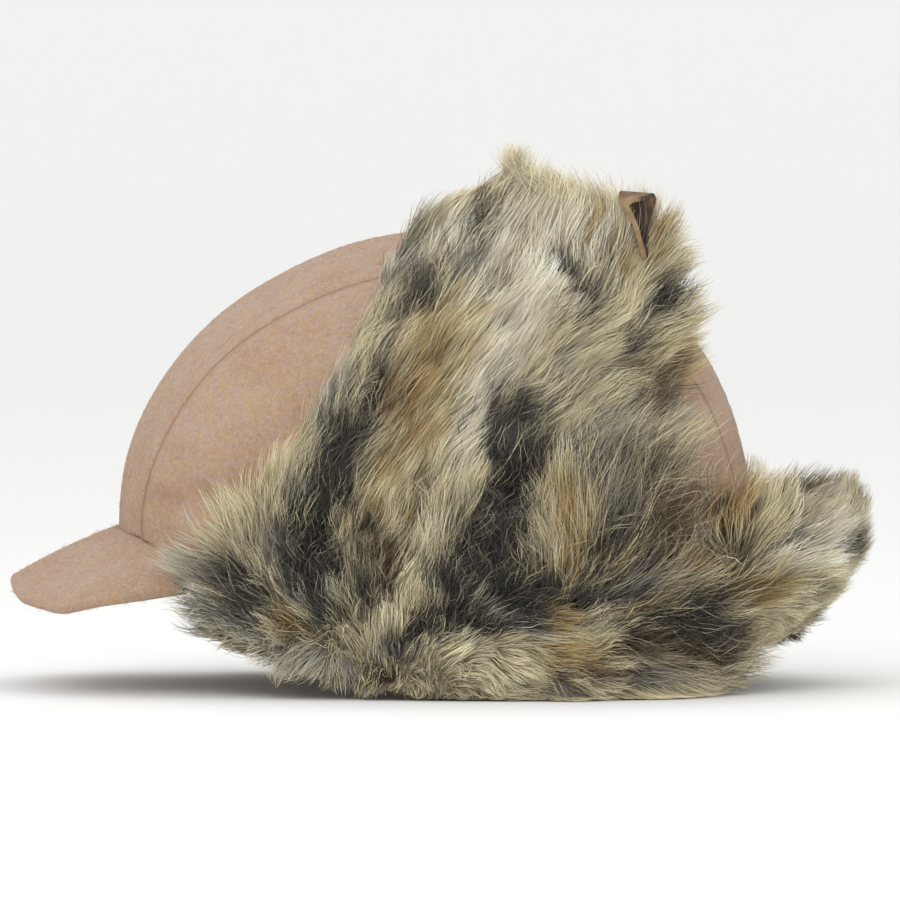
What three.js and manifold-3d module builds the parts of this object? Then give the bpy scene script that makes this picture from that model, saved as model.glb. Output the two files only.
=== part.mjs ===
// Aviator hat in felted wool with turned-up fur flaps.
//
// Millimetres. The visor points to -X, the wearer's left side to -Y and the top to +Z.
// The crown is a felt dome sewn from a centre panel and two side panels. Each ear flap is sewn to the
// crown's lower edge, hangs down to a fold and turns up outside the crown, with its fur outward.
// The hat stands on the two folds. The neck flap turns up behind and stands off the crown like a cuff.
import * as THREE from 'three';
import { mergeVertices } from 'three/addons/utils/BufferGeometryUtils.js';
import Module from 'manifold-3d';

const wasm = await Module();
wasm.setup();

// Crown: a dome over an oval plan.
const CROWN_FRONT = 130; // widest section to the forehead
const CROWN_BACK = 97; // widest section to the nape
const CROWN_HALF_WIDTH = 88;
const CROWN_RISE = 105; // widest level to the top
const WIDEST_LEVEL = 60; // above the table
const WIDEST_X = 10.8;
const RIM_FRONT_Z = 51; // the lower edge slopes down from the forehead to the nape
const RIM_BACK_Z = 37;
const RIM_ARCH = 6.5; // more height in the middle of the forehead
const RIM_ARCH_REACH = 34;
const ROUNDNESS = 2.2; // 2 is an ellipse, higher is squarer
const RIM_TUCK = 0.02; // how far the wall draws in from the widest level to the nape's edge
const FELT = 2.5;
const SEAM_GAP = 0.3;

// Centre panel, with the seam allowance pressed under its edges as a raised strip.
const PANEL_HALF_FRONT = 40;
const PANEL_HALF_TOP = 50;
const PANEL_HALF_BACK = 36;
const ALLOWANCE = 8.5;
const ALLOWANCE_RISE = 1.1;
const CROWN_STAGES = 26;

// Visor.
const VISOR_REACH = 38;
const VISOR_DROP = 22.5;
const VISOR_THICKNESS = 3.6;
const VISOR_SPAN = 42; // degrees of the rim to each side

// Ear flaps.
const PELT = 3;
const FLAP_CLEARANCE = 1.6; // cloth side to the crown
const FLAP_FRONT_X = -86;
const FLAP_LENGTH = 181;
const FLAP_TOP_Z = 172;
const FLAP_LEAN = 47; // how far the tip leans in
const FOLD_RADIUS = 2.6;
const FOLD_SINK = 1; // the fold is flattened by this much where it rests
const FOLD_RISE_FRONT = 24;
const FOLD_RISE_BACK = 9;
const FOLD_FLAT_FRONT = 20; // the fold rests on the table between these
const FOLD_FLAT_BACK = 68;

// Neck flap.
const NECK_SPAN = 43; // degrees of the rim to each side
const NECK_REACH = 35.5;
const NECK_DEPTH = 16; // rim down to the fold
const NECK_STAND = 46; // fold up to the free edge

// Fur locks.
const LOCK_LENGTH = 25;
const LOCK_WIDTH = 19;
const LOCK_DEPTH = 9;
const LOCK_ROOT = 0.3; // share of the length behind the waist
const LOCK_LIFT = 0.32;

// Hanging loop at the tip of the left ear flap.
const TAPE_WIDTH = 9;
const TAPE_THICKNESS = 1.5;
const LOOP_HEIGHT = 22;
const LOOP_LENGTH = 14;
const LOOP_X = 66;
const LOOP_ROOT_Z = 155;

const DEG = Math.PI / 180;
const EPSILON = 0.01;

// Soft crease across the side panels and the swelling below it, as shares of the crown's sizes.
const SIDE_DENTS = [
  { along: -0.66, up: 0.11, reachAlong: 0.24, reachUp: 0.055, rise: -2.2 },
  { along: -0.72, up: 0.01, reachAlong: 0.2, reachUp: 0.07, rise: 1.6 },
];

// The visor's outline: share of the span, of the reach and of the drop.
const VISOR_OUTLINE = [
  { span: 0, reach: 1, drop: 0.78 },
  { span: 0.3, reach: 0.995, drop: 1 },
  { span: 0.6, reach: 0.945, drop: 1 },
  { span: 0.8, reach: 0.86, drop: 0.72 },
  { span: 1, reach: 0.24, drop: 0.45 },
];

// The turned-up ear flap: share of the height, and of the length at its front and back edges.
const FLAP_OUTLINE = [
  { up: 0, front: 0, back: 1 },
  { up: 0.034, front: 0.005, back: 0.99 },
  { up: 0.167, front: 0.045, back: 0.91 },
  { up: 0.277, front: 0.095, back: 0.86 },
  { up: 0.387, front: 0.156, back: 0.835 },
  { up: 0.497, front: 0.213, back: 0.845 },
  { up: 0.607, front: 0.258, back: 0.878 },
  { up: 0.739, front: 0.318, back: 0.905 },
  { up: 0.87, front: 0.365, back: 0.895 },
  { up: 0.93, front: 0.395, back: 0.872 },
  { up: 0.97, front: 0.43, back: 0.82 },
  { up: 1, front: 0.48, back: 0.74 },
];

// The neck flap's section: share of the reach, of the depth (down) or the stand (up), and of the span.
const NECK_SECTION = [
  { out: 0, down: 0, stand: 0, span: 0.68 },
  { out: 0.01, down: 0.5, stand: 0, span: 0.68 },
  { out: 0.08, down: 0.94, stand: 0, span: 0.68 },
  { out: 0.26, down: 1, stand: 0, span: 0.7 },
  { out: 0.52, down: 1, stand: 0.13, span: 0.78 },
  { out: 0.77, down: 1, stand: 0.34, span: 0.87 },
  { out: 0.95, down: 1, stand: 0.6, span: 0.95 },
  { out: 1, down: 1, stand: 0.82, span: 1 },
  { out: 0.95, down: 1, stand: 1, span: 1 },
];

// Rows of locks on an ear flap: height share, how many, and at the front and back edges the turn of
// the hair from straight up towards the back in degrees, and the locks' size.
const FLAP_LOCKS = [
  { up: 0.005, count: 7, frontTurn: -95, backTurn: 5, frontSize: 0.8, backSize: 0.5 },
  { up: 0.1, count: 7, frontTurn: -75, backTurn: 0, frontSize: 1, backSize: 0.5 },
  { up: 0.21, count: 6, frontTurn: -35, backTurn: 0, frontSize: 1, backSize: 0.6 },
  { up: 0.32, count: 6, frontTurn: -12, backTurn: 20, frontSize: 1, backSize: 0.8 },
  { up: 0.43, count: 6, frontTurn: -5, backTurn: 60, frontSize: 1, backSize: 1 },
  { up: 0.54, count: 6, frontTurn: -2, backTurn: 60, frontSize: 1, backSize: 1 },
  { up: 0.65, count: 6, frontTurn: 0, backTurn: 50, frontSize: 1, backSize: 1 },
  { up: 0.76, count: 6, frontTurn: 0, backTurn: 42, frontSize: 0.95, backSize: 0.95 },
  { up: 0.86, count: 5, frontTurn: 0, backTurn: 40, frontSize: 0.85, backSize: 0.85 },
  { up: 0.94, count: 4, frontTurn: 5, backTurn: 40, frontSize: 0.7, backSize: 0.7 },
  { up: 0.985, count: 4, frontTurn: 0, backTurn: 45, frontSize: 0.55, backSize: 0.55 },
];

// Rows of locks on the neck flap: place along the section, how many, and their size.
const NECK_LOCKS = [
  { section: 0.28, count: 5, size: 0.7 },
  { section: 0.42, count: 6, size: 0.75 },
  { section: 0.55, count: 7, size: 0.85 },
  { section: 0.7, count: 8, size: 0.85 },
  { section: 0.83, count: 8, size: 0.7 },
  { section: 0.94, count: 8, size: 0.55 },
];

// The loop's centreline, up and along from its root, and the turn of the tape's face.
const LOOP_PATH = [
  { along: 0, up: 0.02, out: 0.02, turn: 20 },
  { along: -0.12, up: 0.3, out: 0.25, turn: 12 },
  { along: -0.3, up: 0.62, out: 0.4, turn: 5 },
  { along: -0.42, up: 0.88, out: 0.4, turn: 0 },
  { along: -0.2, up: 1, out: 0.35, turn: 5 },
  { along: 0.25, up: 1, out: 0.25, turn: 12 },
  { along: 0.55, up: 0.9, out: 0.2, turn: 28 },
  { along: 0.5, up: 0.62, out: 0.14, turn: 38 },
  { along: 0.32, up: 0.3, out: 0.06, turn: 34 },
  { along: 0.16, up: 0.04, out: 0, turn: 26 },
];

const clamp01 = (value) => Math.min(1, Math.max(0, value));
const steps = (count) => Array.from({ length: count + 1 }, (_, i) => i / count);

// Reads one column of a table at a share of another, with straight lines between the rows.
function lookUp(table, key, value, column) {
  const next = table.findIndex((row) => row[key] >= value);
  if (next < 0) return table[table.length - 1][column];
  if (next === 0) return table[0][column];
  const low = table[next - 1];
  const high = table[next];
  return THREE.MathUtils.mapLinear(value, low[key], high[key], low[column], high[column]);
}

// Repeatable small differences between locks, from -1 to 1.
function seeded(seed) {
  let state = seed;
  return () => {
    state = (state * 16807) % 2147483647;
    return (state / 2147483647) * 2 - 1;
  };
}

// The closed wall between two matching grids of points. Grid edges may shrink to one point.
function wallGeometry(outer, inner) {
  const positions = [];
  const numbers = new Map();
  const index = [];
  const number = (point) => {
    const key = point.toArray().map((value) => Math.round(value * 1e4)).join();
    if (!numbers.has(key)) {
      numbers.set(key, numbers.size);
      positions.push(point.x, point.y, point.z);
    }
    return numbers.get(key);
  };
  const quad = (...corners) => {
    const [a, b, c, d] = corners.map(number);
    for (const face of [[a, b, c], [a, c, d]]) {
      if (new Set(face).size === 3) index.push(...face);
    }
  };
  const lastRow = outer.length - 1;
  const lastColumn = outer[0].length - 1;
  for (let i = 0; i < lastRow; i += 1) {
    for (let j = 0; j < lastColumn; j += 1) {
      quad(outer[i][j], outer[i + 1][j], outer[i + 1][j + 1], outer[i][j + 1]);
      quad(inner[i][j + 1], inner[i + 1][j + 1], inner[i + 1][j], inner[i][j]);
    }
    quad(outer[i + 1][0], outer[i][0], inner[i][0], inner[i + 1][0]);
    const end = lastColumn;
    quad(outer[i][end], outer[i + 1][end], inner[i + 1][end], inner[i][end]);
  }
  for (let j = 0; j < lastColumn; j += 1) {
    quad(outer[0][j], outer[0][j + 1], inner[0][j + 1], inner[0][j]);
    quad(outer[lastRow][j + 1], outer[lastRow][j], inner[lastRow][j], inner[lastRow][j + 1]);
  }
  return facingOut(positions, index);
}

// A closed band from sections that follow each other round a ring.
function ringGeometry(sections) {
  const corners = sections[0].length;
  const positions = sections.flat().flatMap((point) => point.toArray());
  const index = [];
  sections.forEach((_, i) => {
    const next = (i + 1) % sections.length;
    for (let j = 0; j < corners; j += 1) {
      const beside = (j + 1) % corners;
      const [a, b] = [i * corners + j, next * corners + j];
      const [c, d] = [next * corners + beside, i * corners + beside];
      index.push(a, b, c, a, c, d);
    }
  });
  return facingOut(positions, index);
}

function facingOut(positions, index) {
  const geometry = new THREE.BufferGeometry();
  geometry.setAttribute('position', new THREE.Float32BufferAttribute(positions, 3));
  const [a, b, c] = [new THREE.Vector3(), new THREE.Vector3(), new THREE.Vector3()];
  let volume = 0;
  for (let i = 0; i < index.length; i += 3) {
    a.fromArray(positions, index[i] * 3);
    b.fromArray(positions, index[i + 1] * 3);
    c.fromArray(positions, index[i + 2] * 3);
    volume += a.dot(b.cross(c));
  }
  geometry.setIndex(volume < 0 ? index.reverse() : index);
  return geometry;
}

function toSolid(geometry) {
  const bare = geometry.clone();
  bare.deleteAttribute('normal');
  bare.deleteAttribute('uv');
  const merged = mergeVertices(bare, 1e-4);
  return new wasm.Manifold(new wasm.Mesh({
    numProp: 3,
    vertProperties: new Float32Array(merged.attributes.position.array),
    triVerts: new Uint32Array(merged.index.array),
  }));
}

function toGeometry(solid) {
  const { vertProperties, triVerts } = solid.getMesh();
  const geometry = new THREE.BufferGeometry();
  geometry.setAttribute('position', new THREE.BufferAttribute(vertProperties, 3));
  geometry.setIndex(new THREE.BufferAttribute(triVerts, 1));
  return geometry;
}

// The crown's surface.
const rimHeight = (x) => {
  const front = WIDEST_X - CROWN_FRONT;
  const level = THREE.MathUtils.mapLinear(
    x, front, WIDEST_X + CROWN_BACK, RIM_FRONT_Z, RIM_BACK_Z,
  );
  return level + RIM_ARCH * clamp01((front + RIM_ARCH_REACH - x) / RIM_ARCH_REACH) ** 1.4;
};
const round = (share) => {
  const rest = 1 - Math.abs(share) ** ROUNDNESS;
  return Math.max(0, rest) ** (1 / ROUNDNESS);
};
const tuck = (z) => {
  const below = Math.max(0, WIDEST_LEVEL - z) / (WIDEST_LEVEL - RIM_BACK_Z);
  return 1 - RIM_TUCK * below ** 2;
};
const alongShare = (x) => (x - WIDEST_X) / (x < WIDEST_X ? CROWN_FRONT : CROWN_BACK);
const upShare = (z) => Math.max(0, z - WIDEST_LEVEL) / CROWN_RISE;

function sideReach(x, z) {
  const size = tuck(z);
  return CROWN_HALF_WIDTH * size * round(Math.hypot(alongShare(x) / size, upShare(z)));
}

function crownLevel({ x, y, z }) {
  const size = tuck(z);
  const profile = Math.hypot(alongShare(x) / size, upShare(z));
  return profile ** ROUNDNESS + Math.abs(y / (CROWN_HALF_WIDTH * size)) ** ROUNDNESS;
}

function crownNormal(point) {
  const normal = new THREE.Vector3();
  for (const axis of ['x', 'y', 'z']) {
    const [before, after] = [point.clone(), point.clone()];
    before[axis] -= EPSILON;
    after[axis] += EPSILON;
    normal[axis] = crownLevel(after) - crownLevel(before);
  }
  return normal.normalize();
}

const sideDent = (x, z) => SIDE_DENTS.reduce((sum, dent) => {
  const along = (alongShare(x) - dent.along) / dent.reachAlong;
  const up = ((z - WIDEST_LEVEL) / CROWN_RISE - dent.up) / dent.reachUp;
  return sum + dent.rise * Math.exp(-(along ** 2) - up ** 2);
}, 0);

// A point of the profile from the forehead's edge over the top to the nape's edge.
// Stage runs from -1 to 0 up the front wall, from 0 to 1 over the dome and from 1 to 2 down the back.
function crownPoint(stage, y) {
  const turn = clamp01(stage) * Math.PI;
  const inside = round(y / CROWN_HALF_WIDTH);
  const size = Math.cos(turn) > 0 ? CROWN_FRONT : CROWN_BACK;
  const point = new THREE.Vector3(
    WIDEST_X - size * inside * Math.cos(turn),
    y,
    WIDEST_LEVEL + CROWN_RISE * inside * Math.sin(turn),
  );
  const down = stage < 0 ? -stage : Math.max(0, stage - 1);
  if (down > 0) {
    point.z = THREE.MathUtils.lerp(WIDEST_LEVEL, rimHeight(point.x), down);
    const size1 = tuck(point.z);
    point.x = WIDEST_X - Math.sign(Math.cos(turn)) * size * size1
      * round(y / (CROWN_HALF_WIDTH * size1));
    if (down === 1) point.z = rimHeight(point.x);
  }
  return point;
}

const seamHalf = (stage) => {
  const turn = clamp01(stage) * Math.PI;
  const edge = Math.cos(turn) > 0 ? PANEL_HALF_FRONT : PANEL_HALF_BACK;
  return THREE.MathUtils.lerp(edge, PANEL_HALF_TOP, Math.sin(turn));
};

const crownStages = [-1, ...steps(CROWN_STAGES), 1.5, 2];

// Inner face of the felt: in along the normal, and level with the rim at the lower edge.
function feltInside(point, atRim) {
  const inside = point.clone().addScaledVector(crownNormal(point), -FELT);
  if (atRim) inside.z = rimHeight(inside.x);
  return inside;
}

function centrePanel() {
  const fromEdge = [
    { cut: 0, rise: 0 },
    { cut: 0.3, rise: 1 },
    { cut: 1, rise: 0.9 },
    { cut: 1.3, rise: 0 },
  ];
  const outer = [];
  const inner = [];
  for (const stage of crownStages) {
    const half = seamHalf(stage) - SEAM_GAP / 2;
    const strip = fromEdge.map(({ cut, rise }) => ({ y: half - cut * ALLOWANCE, rise }));
    const middle = [0.62, 0.3].map((share) => ({ y: strip[3].y * share, rise: 0 }));
    const left = [...strip, ...middle].map(({ y, rise }) => ({ y: -y, rise }));
    const right = [...strip, ...middle].reverse();
    const atRim = stage === -1 || stage === 2;
    const fade = Math.sin(clamp01((stage + 1) / 3) * Math.PI) ** 0.3;
    const row = [...left, { y: 0, rise: 0 }, ...right].map(({ y, rise }) => {
      const point = crownPoint(stage, y);
      const lift = ALLOWANCE_RISE * rise * fade;
      return { point, lifted: point.clone().addScaledVector(crownNormal(point), lift) };
    });
    if (atRim) row.forEach(({ lifted }) => { lifted.z = rimHeight(lifted.x); });
    outer.push(row.map(({ lifted }) => lifted));
    inner.push(row.map(({ point }) => feltInside(point, atRim)));
  }
  return wallGeometry(outer, inner);
}

// A side panel: rays from the middle of its lower edge to the seam.
function sidePanel(side) {
  const rings = [0, 0.16, 0.32, 0.48, 0.64, 0.78, 0.9, 1];
  const foot = new THREE.Vector2(WIDEST_X, rimHeight(WIDEST_X));
  const outer = [];
  const inner = [];
  for (const stage of crownStages) {
    const seam = crownPoint(stage, seamHalf(stage));
    const ray = new THREE.Vector2(seam.x, seam.z).sub(foot);
    const shorter = 1 - SEAM_GAP / 2 / ray.length();
    const atRim = stage === -1 || stage === 2;
    const points = rings.map((ring) => {
      const spot = foot.clone().addScaledVector(ray, ring * shorter);
      const z = atRim ? rimHeight(spot.x) : spot.y;
      const point = new THREE.Vector3(spot.x, side * sideReach(spot.x, z), z);
      const dent = sideDent(spot.x, z) * (1 - ring ** 6);
      point.y += side * dent;
      return point;
    });
    outer.push(points);
    inner.push(points.map((point, i) => feltInside(point, atRim || i === 0)));
  }
  return wallGeometry(outer, inner);
}

// A point on the crown's rim, and the way out of it, by the turn round the plan from the end given.
function rimPoint(degrees, end) {
  const turn = degrees * DEG;
  const power = 2 / ROUNDNESS;
  const size = end < 0 ? CROWN_FRONT : CROWN_BACK;
  const reach = Math.abs(Math.cos(turn)) ** power;
  const y = CROWN_HALF_WIDTH * Math.sign(Math.sin(turn)) * Math.abs(Math.sin(turn)) ** power;
  const z = rimHeight(WIDEST_X + end * size * reach);
  const point = new THREE.Vector3(WIDEST_X + end * size * tuck(z) * reach, y * tuck(z), z);
  const out = crownNormal(point).setZ(0).normalize();
  return { point, out };
}

function visor() {
  const outer = [];
  const inner = [];
  for (const share of steps(16)) {
    const span = share * 2 - 1;
    const { point, out } = rimPoint(span * VISOR_SPAN, -1);
    const reach = VISOR_REACH * lookUp(VISOR_OUTLINE, 'span', Math.abs(span), 'reach');
    const drop = VISOR_DROP * lookUp(VISOR_OUTLINE, 'span', Math.abs(span), 'drop');
    const top = [];
    const bottom = [];
    for (const across of [-FELT / reach, 0.12, 0.35, 0.58, 0.8, 0.95, 1]) {
      const place = point.clone().addScaledVector(out, across * reach);
      const start = rimHeight(place.x) - SEAM_GAP;
      const sink = Math.max(0, across);
      place.z = Math.min(start, point.z - SEAM_GAP - drop * sink ** 1.25);
      const slope = (drop / reach) * 1.25 * sink ** 0.25;
      const down = out.clone().multiplyScalar(-slope).setZ(-1).normalize();
      const thickness = VISOR_THICKNESS * (across === 1 ? 0.6 : 1);
      if (across === 1) place.addScaledVector(down, VISOR_THICKNESS * 0.2);
      top.push(place);
      bottom.push(place.clone().addScaledVector(down, thickness));
    }
    outer.push(top);
    inner.push(bottom);
  }
  return wallGeometry(outer, inner);
}

// The ear flap's fold line, seen from the side.
function foldHeight(x) {
  const front = clamp01((FOLD_FLAT_FRONT - x) / (FOLD_FLAT_FRONT - FLAP_FRONT_X));
  const back = clamp01((x - FOLD_FLAT_BACK) / (FLAP_FRONT_X + FLAP_LENGTH - FOLD_FLAT_BACK));
  return FOLD_RISE_FRONT * front ** 1.9 + FOLD_RISE_BACK * back ** 2 - FOLD_SINK;
}

// The cloth side of the ear flap: out from the crown's rim below it, and round the crown above.
function flapReach(x, z) {
  const share = 0.95 * alongShare(x);
  const lean = FLAP_LEAN * (z - WIDEST_LEVEL) / (FLAP_TOP_Z - WIDEST_LEVEL);
  const free = (CROWN_HALF_WIDTH - Math.max(0, lean)) * round(share);
  const held = sideReach(x, Math.max(z, rimHeight(x)));
  return (free + held + Math.hypot(free - held, 6)) / 2 + FLAP_CLEARANCE;
}

// The path of the flap's cloth side: 0 to 1 down the hidden leg, 1 to 2 round the fold, 2 to 3 up.
function flapPoint(along, path) {
  const up = clamp01(path - 2);
  const front = lookUp(FLAP_OUTLINE, 'up', up, 'front');
  const back = lookUp(FLAP_OUTLINE, 'up', up, 'back');
  const x = FLAP_FRONT_X + FLAP_LENGTH * THREE.MathUtils.lerp(front, back, along);
  const wall = sideReach(x, rimHeight(x));
  const bottom = foldHeight(x) + PELT;
  const belly = 2 * FOLD_RADIUS;
  if (path <= 1) {
    const z = THREE.MathUtils.lerp(rimHeight(x) - SEAM_GAP, bottom + FOLD_RADIUS, path);
    return new THREE.Vector3(x, -wall, z);
  }
  if (path < 2) {
    const turn = (path - 1) * Math.PI;
    const y = -wall - FOLD_RADIUS * (1 - Math.cos(turn));
    return new THREE.Vector3(x, y, bottom + FOLD_RADIUS * (1 - Math.sin(turn)));
  }
  const z = THREE.MathUtils.lerp(bottom + FOLD_RADIUS, FLAP_TOP_Z, up);
  const rise = clamp01((z - bottom - FOLD_RADIUS) / (WIDEST_LEVEL - bottom));
  const y = THREE.MathUtils.lerp(wall + belly, flapReach(x, z), rise * rise * (3 - 2 * rise));
  return new THREE.Vector3(x, -y, z);
}

function flapFrame(along, path) {
  const point = flapPoint(along, path);
  const [a0, a1] = [Math.max(0, along - EPSILON), Math.min(1, along + EPSILON)];
  const [p0, p1] = [Math.max(0, path - EPSILON), Math.min(3, path + EPSILON)];
  const across = flapPoint(a1, path).sub(flapPoint(a0, path)).normalize();
  const up = flapPoint(along, p1).sub(flapPoint(along, p0)).normalize();
  const out = across.clone().cross(up).normalize();
  return { point, across, up, out };
}

// A lock of unit length: a short root, a waist of unit width and a long tip.
function lockShape() {
  const shape = new THREE.OctahedronGeometry(0.5);
  const { position } = shape.attributes;
  for (let i = 0; i < position.count; i += 1) {
    const y = position.getY(i);
    if (Math.abs(y) > 0.25) position.setY(i, y > 0 ? 1 : -LOCK_ROOT);
  }
  return toSolid(shape);
}

const lockTemplate = lockShape();

// One lock with its waist just above the pelt's face, pointing along the hair and lifted off it.
function lock(face, hair, out, size) {
  const way = hair.clone().addScaledVector(out, LOCK_LIFT).normalize();
  const side = way.clone().cross(out).normalize();
  const thick = side.clone().cross(way);
  const root = face.clone().addScaledVector(out, (LOCK_DEPTH / 2) * size);
  const matrix = new THREE.Matrix4().makeBasis(
    side.multiplyScalar(LOCK_WIDTH * size),
    way.multiplyScalar(LOCK_LENGTH * size),
    thick.multiplyScalar(LOCK_DEPTH * size),
  );
  return lockTemplate.transform(matrix.setPosition(root).toArray());
}

// The solid that fur keeps clear of: the whole crown, a little larger.
function crownEnvelope() {
  const outline = [];
  const inline = [];
  const clear = SEAM_GAP + ALLOWANCE_RISE;
  for (const stage of crownStages) {
    const row = steps(12).map((share) => {
      const half = CROWN_HALF_WIDTH * Math.sin((share - 0.5) * Math.PI) * 0.999;
      const point = crownPoint(stage, half);
      return point.addScaledVector(crownNormal(point), clear);
    });
    outline.push(row);
    inline.push(row.map((point) => point.clone().lerp(
      new THREE.Vector3(WIDEST_X, 0, WIDEST_LEVEL), 0.12,
    )));
  }
  return toSolid(wallGeometry(outline, inline));
}

function earFlap(side, seed, loopAt) {
  const paths = [
    0, 0.5, 1, 1.25, 1.5, 1.75,
    ...FLAP_OUTLINE.map(({ up }) => 2 + up),
  ];
  const cloth = [];
  const fur = [];
  for (const path of paths) {
    const row = steps(10).map((along) => flapFrame(along, path));
    cloth.push(row.map(({ point }) => point));
    fur.push(row.map(({ point, out }) => {
      const face = point.clone().addScaledVector(out, PELT);
      if (path === 0) face.z = rimHeight(face.x) - SEAM_GAP;
      return face;
    }));
  }
  const random = seeded(seed);
  const locks = [];
  for (const { up, count, frontTurn, backTurn, frontSize, backSize } of FLAP_LOCKS) {
    for (let i = 0; i < count; i += 1) {
      const along = clamp01((i + 0.5 + 0.15 * random()) / count);
      const frame = flapFrame(along, 2 + up);
      const root = frame.point.clone().addScaledVector(frame.out, PELT * 0.1);
      const turn = (THREE.MathUtils.lerp(frontTurn, backTurn, along) + 10 * random()) * DEG;
      const hair = frame.up.clone().multiplyScalar(Math.cos(turn))
        .addScaledVector(frame.across, Math.sin(turn));
      const size = THREE.MathUtils.lerp(frontSize, backSize, along ** 2);
      const far = !loopAt || root.distanceTo(loopAt) > LOCK_WIDTH;
      if (far) locks.push(lock(root, hair, frame.out, size * (1 + 0.12 * random())));
    }
  }
  const pelt = toSolid(wallGeometry(fur, cloth));
  const table = new THREE.BoxGeometry(4 * FLAP_LENGTH, 4 * FLAP_LENGTH, 2 * FLAP_LENGTH);
  const solid = wasm.Manifold.union([pelt, ...locks])
    .subtract(toSolid(table.translate(0, 0, -FLAP_LENGTH)))
    .subtract(crownEnvelope())
    .subtract(withGap(toSolid(visor())));
  const geometry = toGeometry(largestBody(solid));
  if (side > 0) {
    geometry.applyMatrix4(new THREE.Matrix4().makeScale(1, -1, 1));
    geometry.index.array.reverse();
  }
  return geometry;
}

// A solid with a little more than a seam's gap all round it.
function withGap(solid) {
  const shifts = [-1, 1].flatMap((way) => [
    [way * SEAM_GAP * 1.5, 0, 0],
    [0, way * SEAM_GAP * 1.5, 0],
    [0, 0, way * SEAM_GAP * 1.5],
  ]);
  return wasm.Manifold.union(shifts.map((shift) => solid.translate(shift)));
}

function largestBody(solid) {
  return solid.decompose().reduce((best, body) => (body.volume() > best.volume() ? body : best));
}

// The neck flap's cloth side: round the nape by span, and along the section.
function neckPoint(span, section) {
  const place = section * (NECK_SECTION.length - 1);
  const low = NECK_SECTION[Math.floor(place)];
  const high = NECK_SECTION[Math.ceil(place)];
  const read = (column) => THREE.MathUtils.lerp(low[column], high[column], place % 1);
  const { point, out } = rimPoint(span * NECK_SPAN * read('span'), 1);
  const flare = 0.32 + 0.68 * Math.cos(span * 90 * DEG) ** 0.8;
  const level = THREE.MathUtils.lerp(point.z, RIM_BACK_Z, clamp01(read('down') * 2));
  return new THREE.Vector3(point.x, point.y, level - SEAM_GAP)
    .addScaledVector(out, NECK_REACH * flare * read('out'))
    .setZ(level - SEAM_GAP - NECK_DEPTH * read('down') + NECK_STAND * read('stand'));
}

function neckFrame(span, section) {
  const point = neckPoint(span, section);
  const [s0, s1] = [Math.max(-1, span - EPSILON), Math.min(1, span + EPSILON)];
  const [p0, p1] = [Math.max(0, section - 2 * EPSILON), Math.min(1, section + 2 * EPSILON)];
  const across = neckPoint(s1, section).sub(neckPoint(s0, section)).normalize();
  const up = neckPoint(span, p1).sub(neckPoint(span, p0)).normalize();
  const out = across.clone().cross(up).normalize();
  return { point, across, up, out };
}

function neckFlap(beside) {
  const cloth = [];
  const fur = [];
  for (const section of steps(NECK_SECTION.length - 1)) {
    const row = steps(14).map((share) => neckFrame(share * 2 - 1, section));
    cloth.push(row.map(({ point }) => point));
    fur.push(row.map(({ point, out }) => {
      const face = point.clone().addScaledVector(out, PELT);
      if (section === 0) face.z = rimHeight(face.x) - SEAM_GAP;
      return face;
    }));
  }
  const random = seeded(5);
  const locks = [];
  for (const { section, count, size } of NECK_LOCKS) {
    for (let i = 0; i < count; i += 1) {
      const span = ((i + 0.5 + 0.15 * random()) / count) * 2 - 1;
      const frame = neckFrame(span * 0.88, section);
      const root = frame.point.clone().addScaledVector(frame.out, PELT * 0.1);
      const turn = 15 * random() * DEG;
      const hair = frame.up.clone().multiplyScalar(Math.cos(turn))
        .addScaledVector(frame.across, Math.sin(turn));
      locks.push(lock(root, hair, frame.out, size * (1 + 0.12 * random())));
    }
  }
  const solid = wasm.Manifold.union([toSolid(wallGeometry(fur, cloth)), ...locks])
    .subtract(crownEnvelope())
    .subtract(withGap(wasm.Manifold.union(beside.map(toSolid))));
  return toGeometry(largestBody(solid));
}

// The loop: a tape that leaves its root, turns over at the top and comes back.
function loopRoot() {
  const up = clamp01((LOOP_ROOT_Z - PELT) / FLAP_TOP_Z);
  const front = lookUp(FLAP_OUTLINE, 'up', up, 'front');
  const back = lookUp(FLAP_OUTLINE, 'up', up, 'back');
  const along = clamp01(((LOOP_X - FLAP_FRONT_X) / FLAP_LENGTH - front) / (back - front));
  return flapFrame(along, 2 + up);
}

function flapLoop() {
  const { point, out } = loopRoot();
  const face = point.clone().addScaledVector(out, PELT);
  const sections = LOOP_PATH.map((row, i) => {
    const before = LOOP_PATH[(i + LOOP_PATH.length - 1) % LOOP_PATH.length];
    const after = LOOP_PATH[(i + 1) % LOOP_PATH.length];
    const run = new THREE.Vector3(
      (after.along - before.along) * LOOP_LENGTH, 0, (after.up - before.up) * LOOP_HEIGHT,
    ).normalize();
    const turn = row.turn * DEG;
    const level = new THREE.Vector3(0, -1, 0).applyAxisAngle(new THREE.Vector3(0, 0, 1), turn);
    const width = level.addScaledVector(run, -level.dot(run)).normalize();
    const thick = run.clone().cross(width);
    const centre = face.clone().add(new THREE.Vector3(
      row.along * LOOP_LENGTH, -TAPE_WIDTH * (0.62 + row.out), row.up * LOOP_HEIGHT,
    ));
    return [[-1, -1], [1, -1], [1, 1], [-1, 1]].map(([a, b]) => centre.clone()
      .addScaledVector(width, a * TAPE_WIDTH / 2)
      .addScaledVector(thick, b * TAPE_THICKNESS / 2));
  });
  return ringGeometry(sections);
}

function cloth(name, geometry, color, roughness) {
  const mesh = new THREE.Mesh(geometry, new THREE.MeshStandardMaterial({
    color, roughness, metalness: 0,
  }));
  mesh.name = name;
  return mesh;
}

const WOOL = 0xc9a68e;
const FUR = 0xa89a80;
const SUEDE = 0x8a7358;

const leftFlap = earFlap(-1, 11, loopRoot().point);
const rightFlap = earFlap(1, 23);

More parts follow.
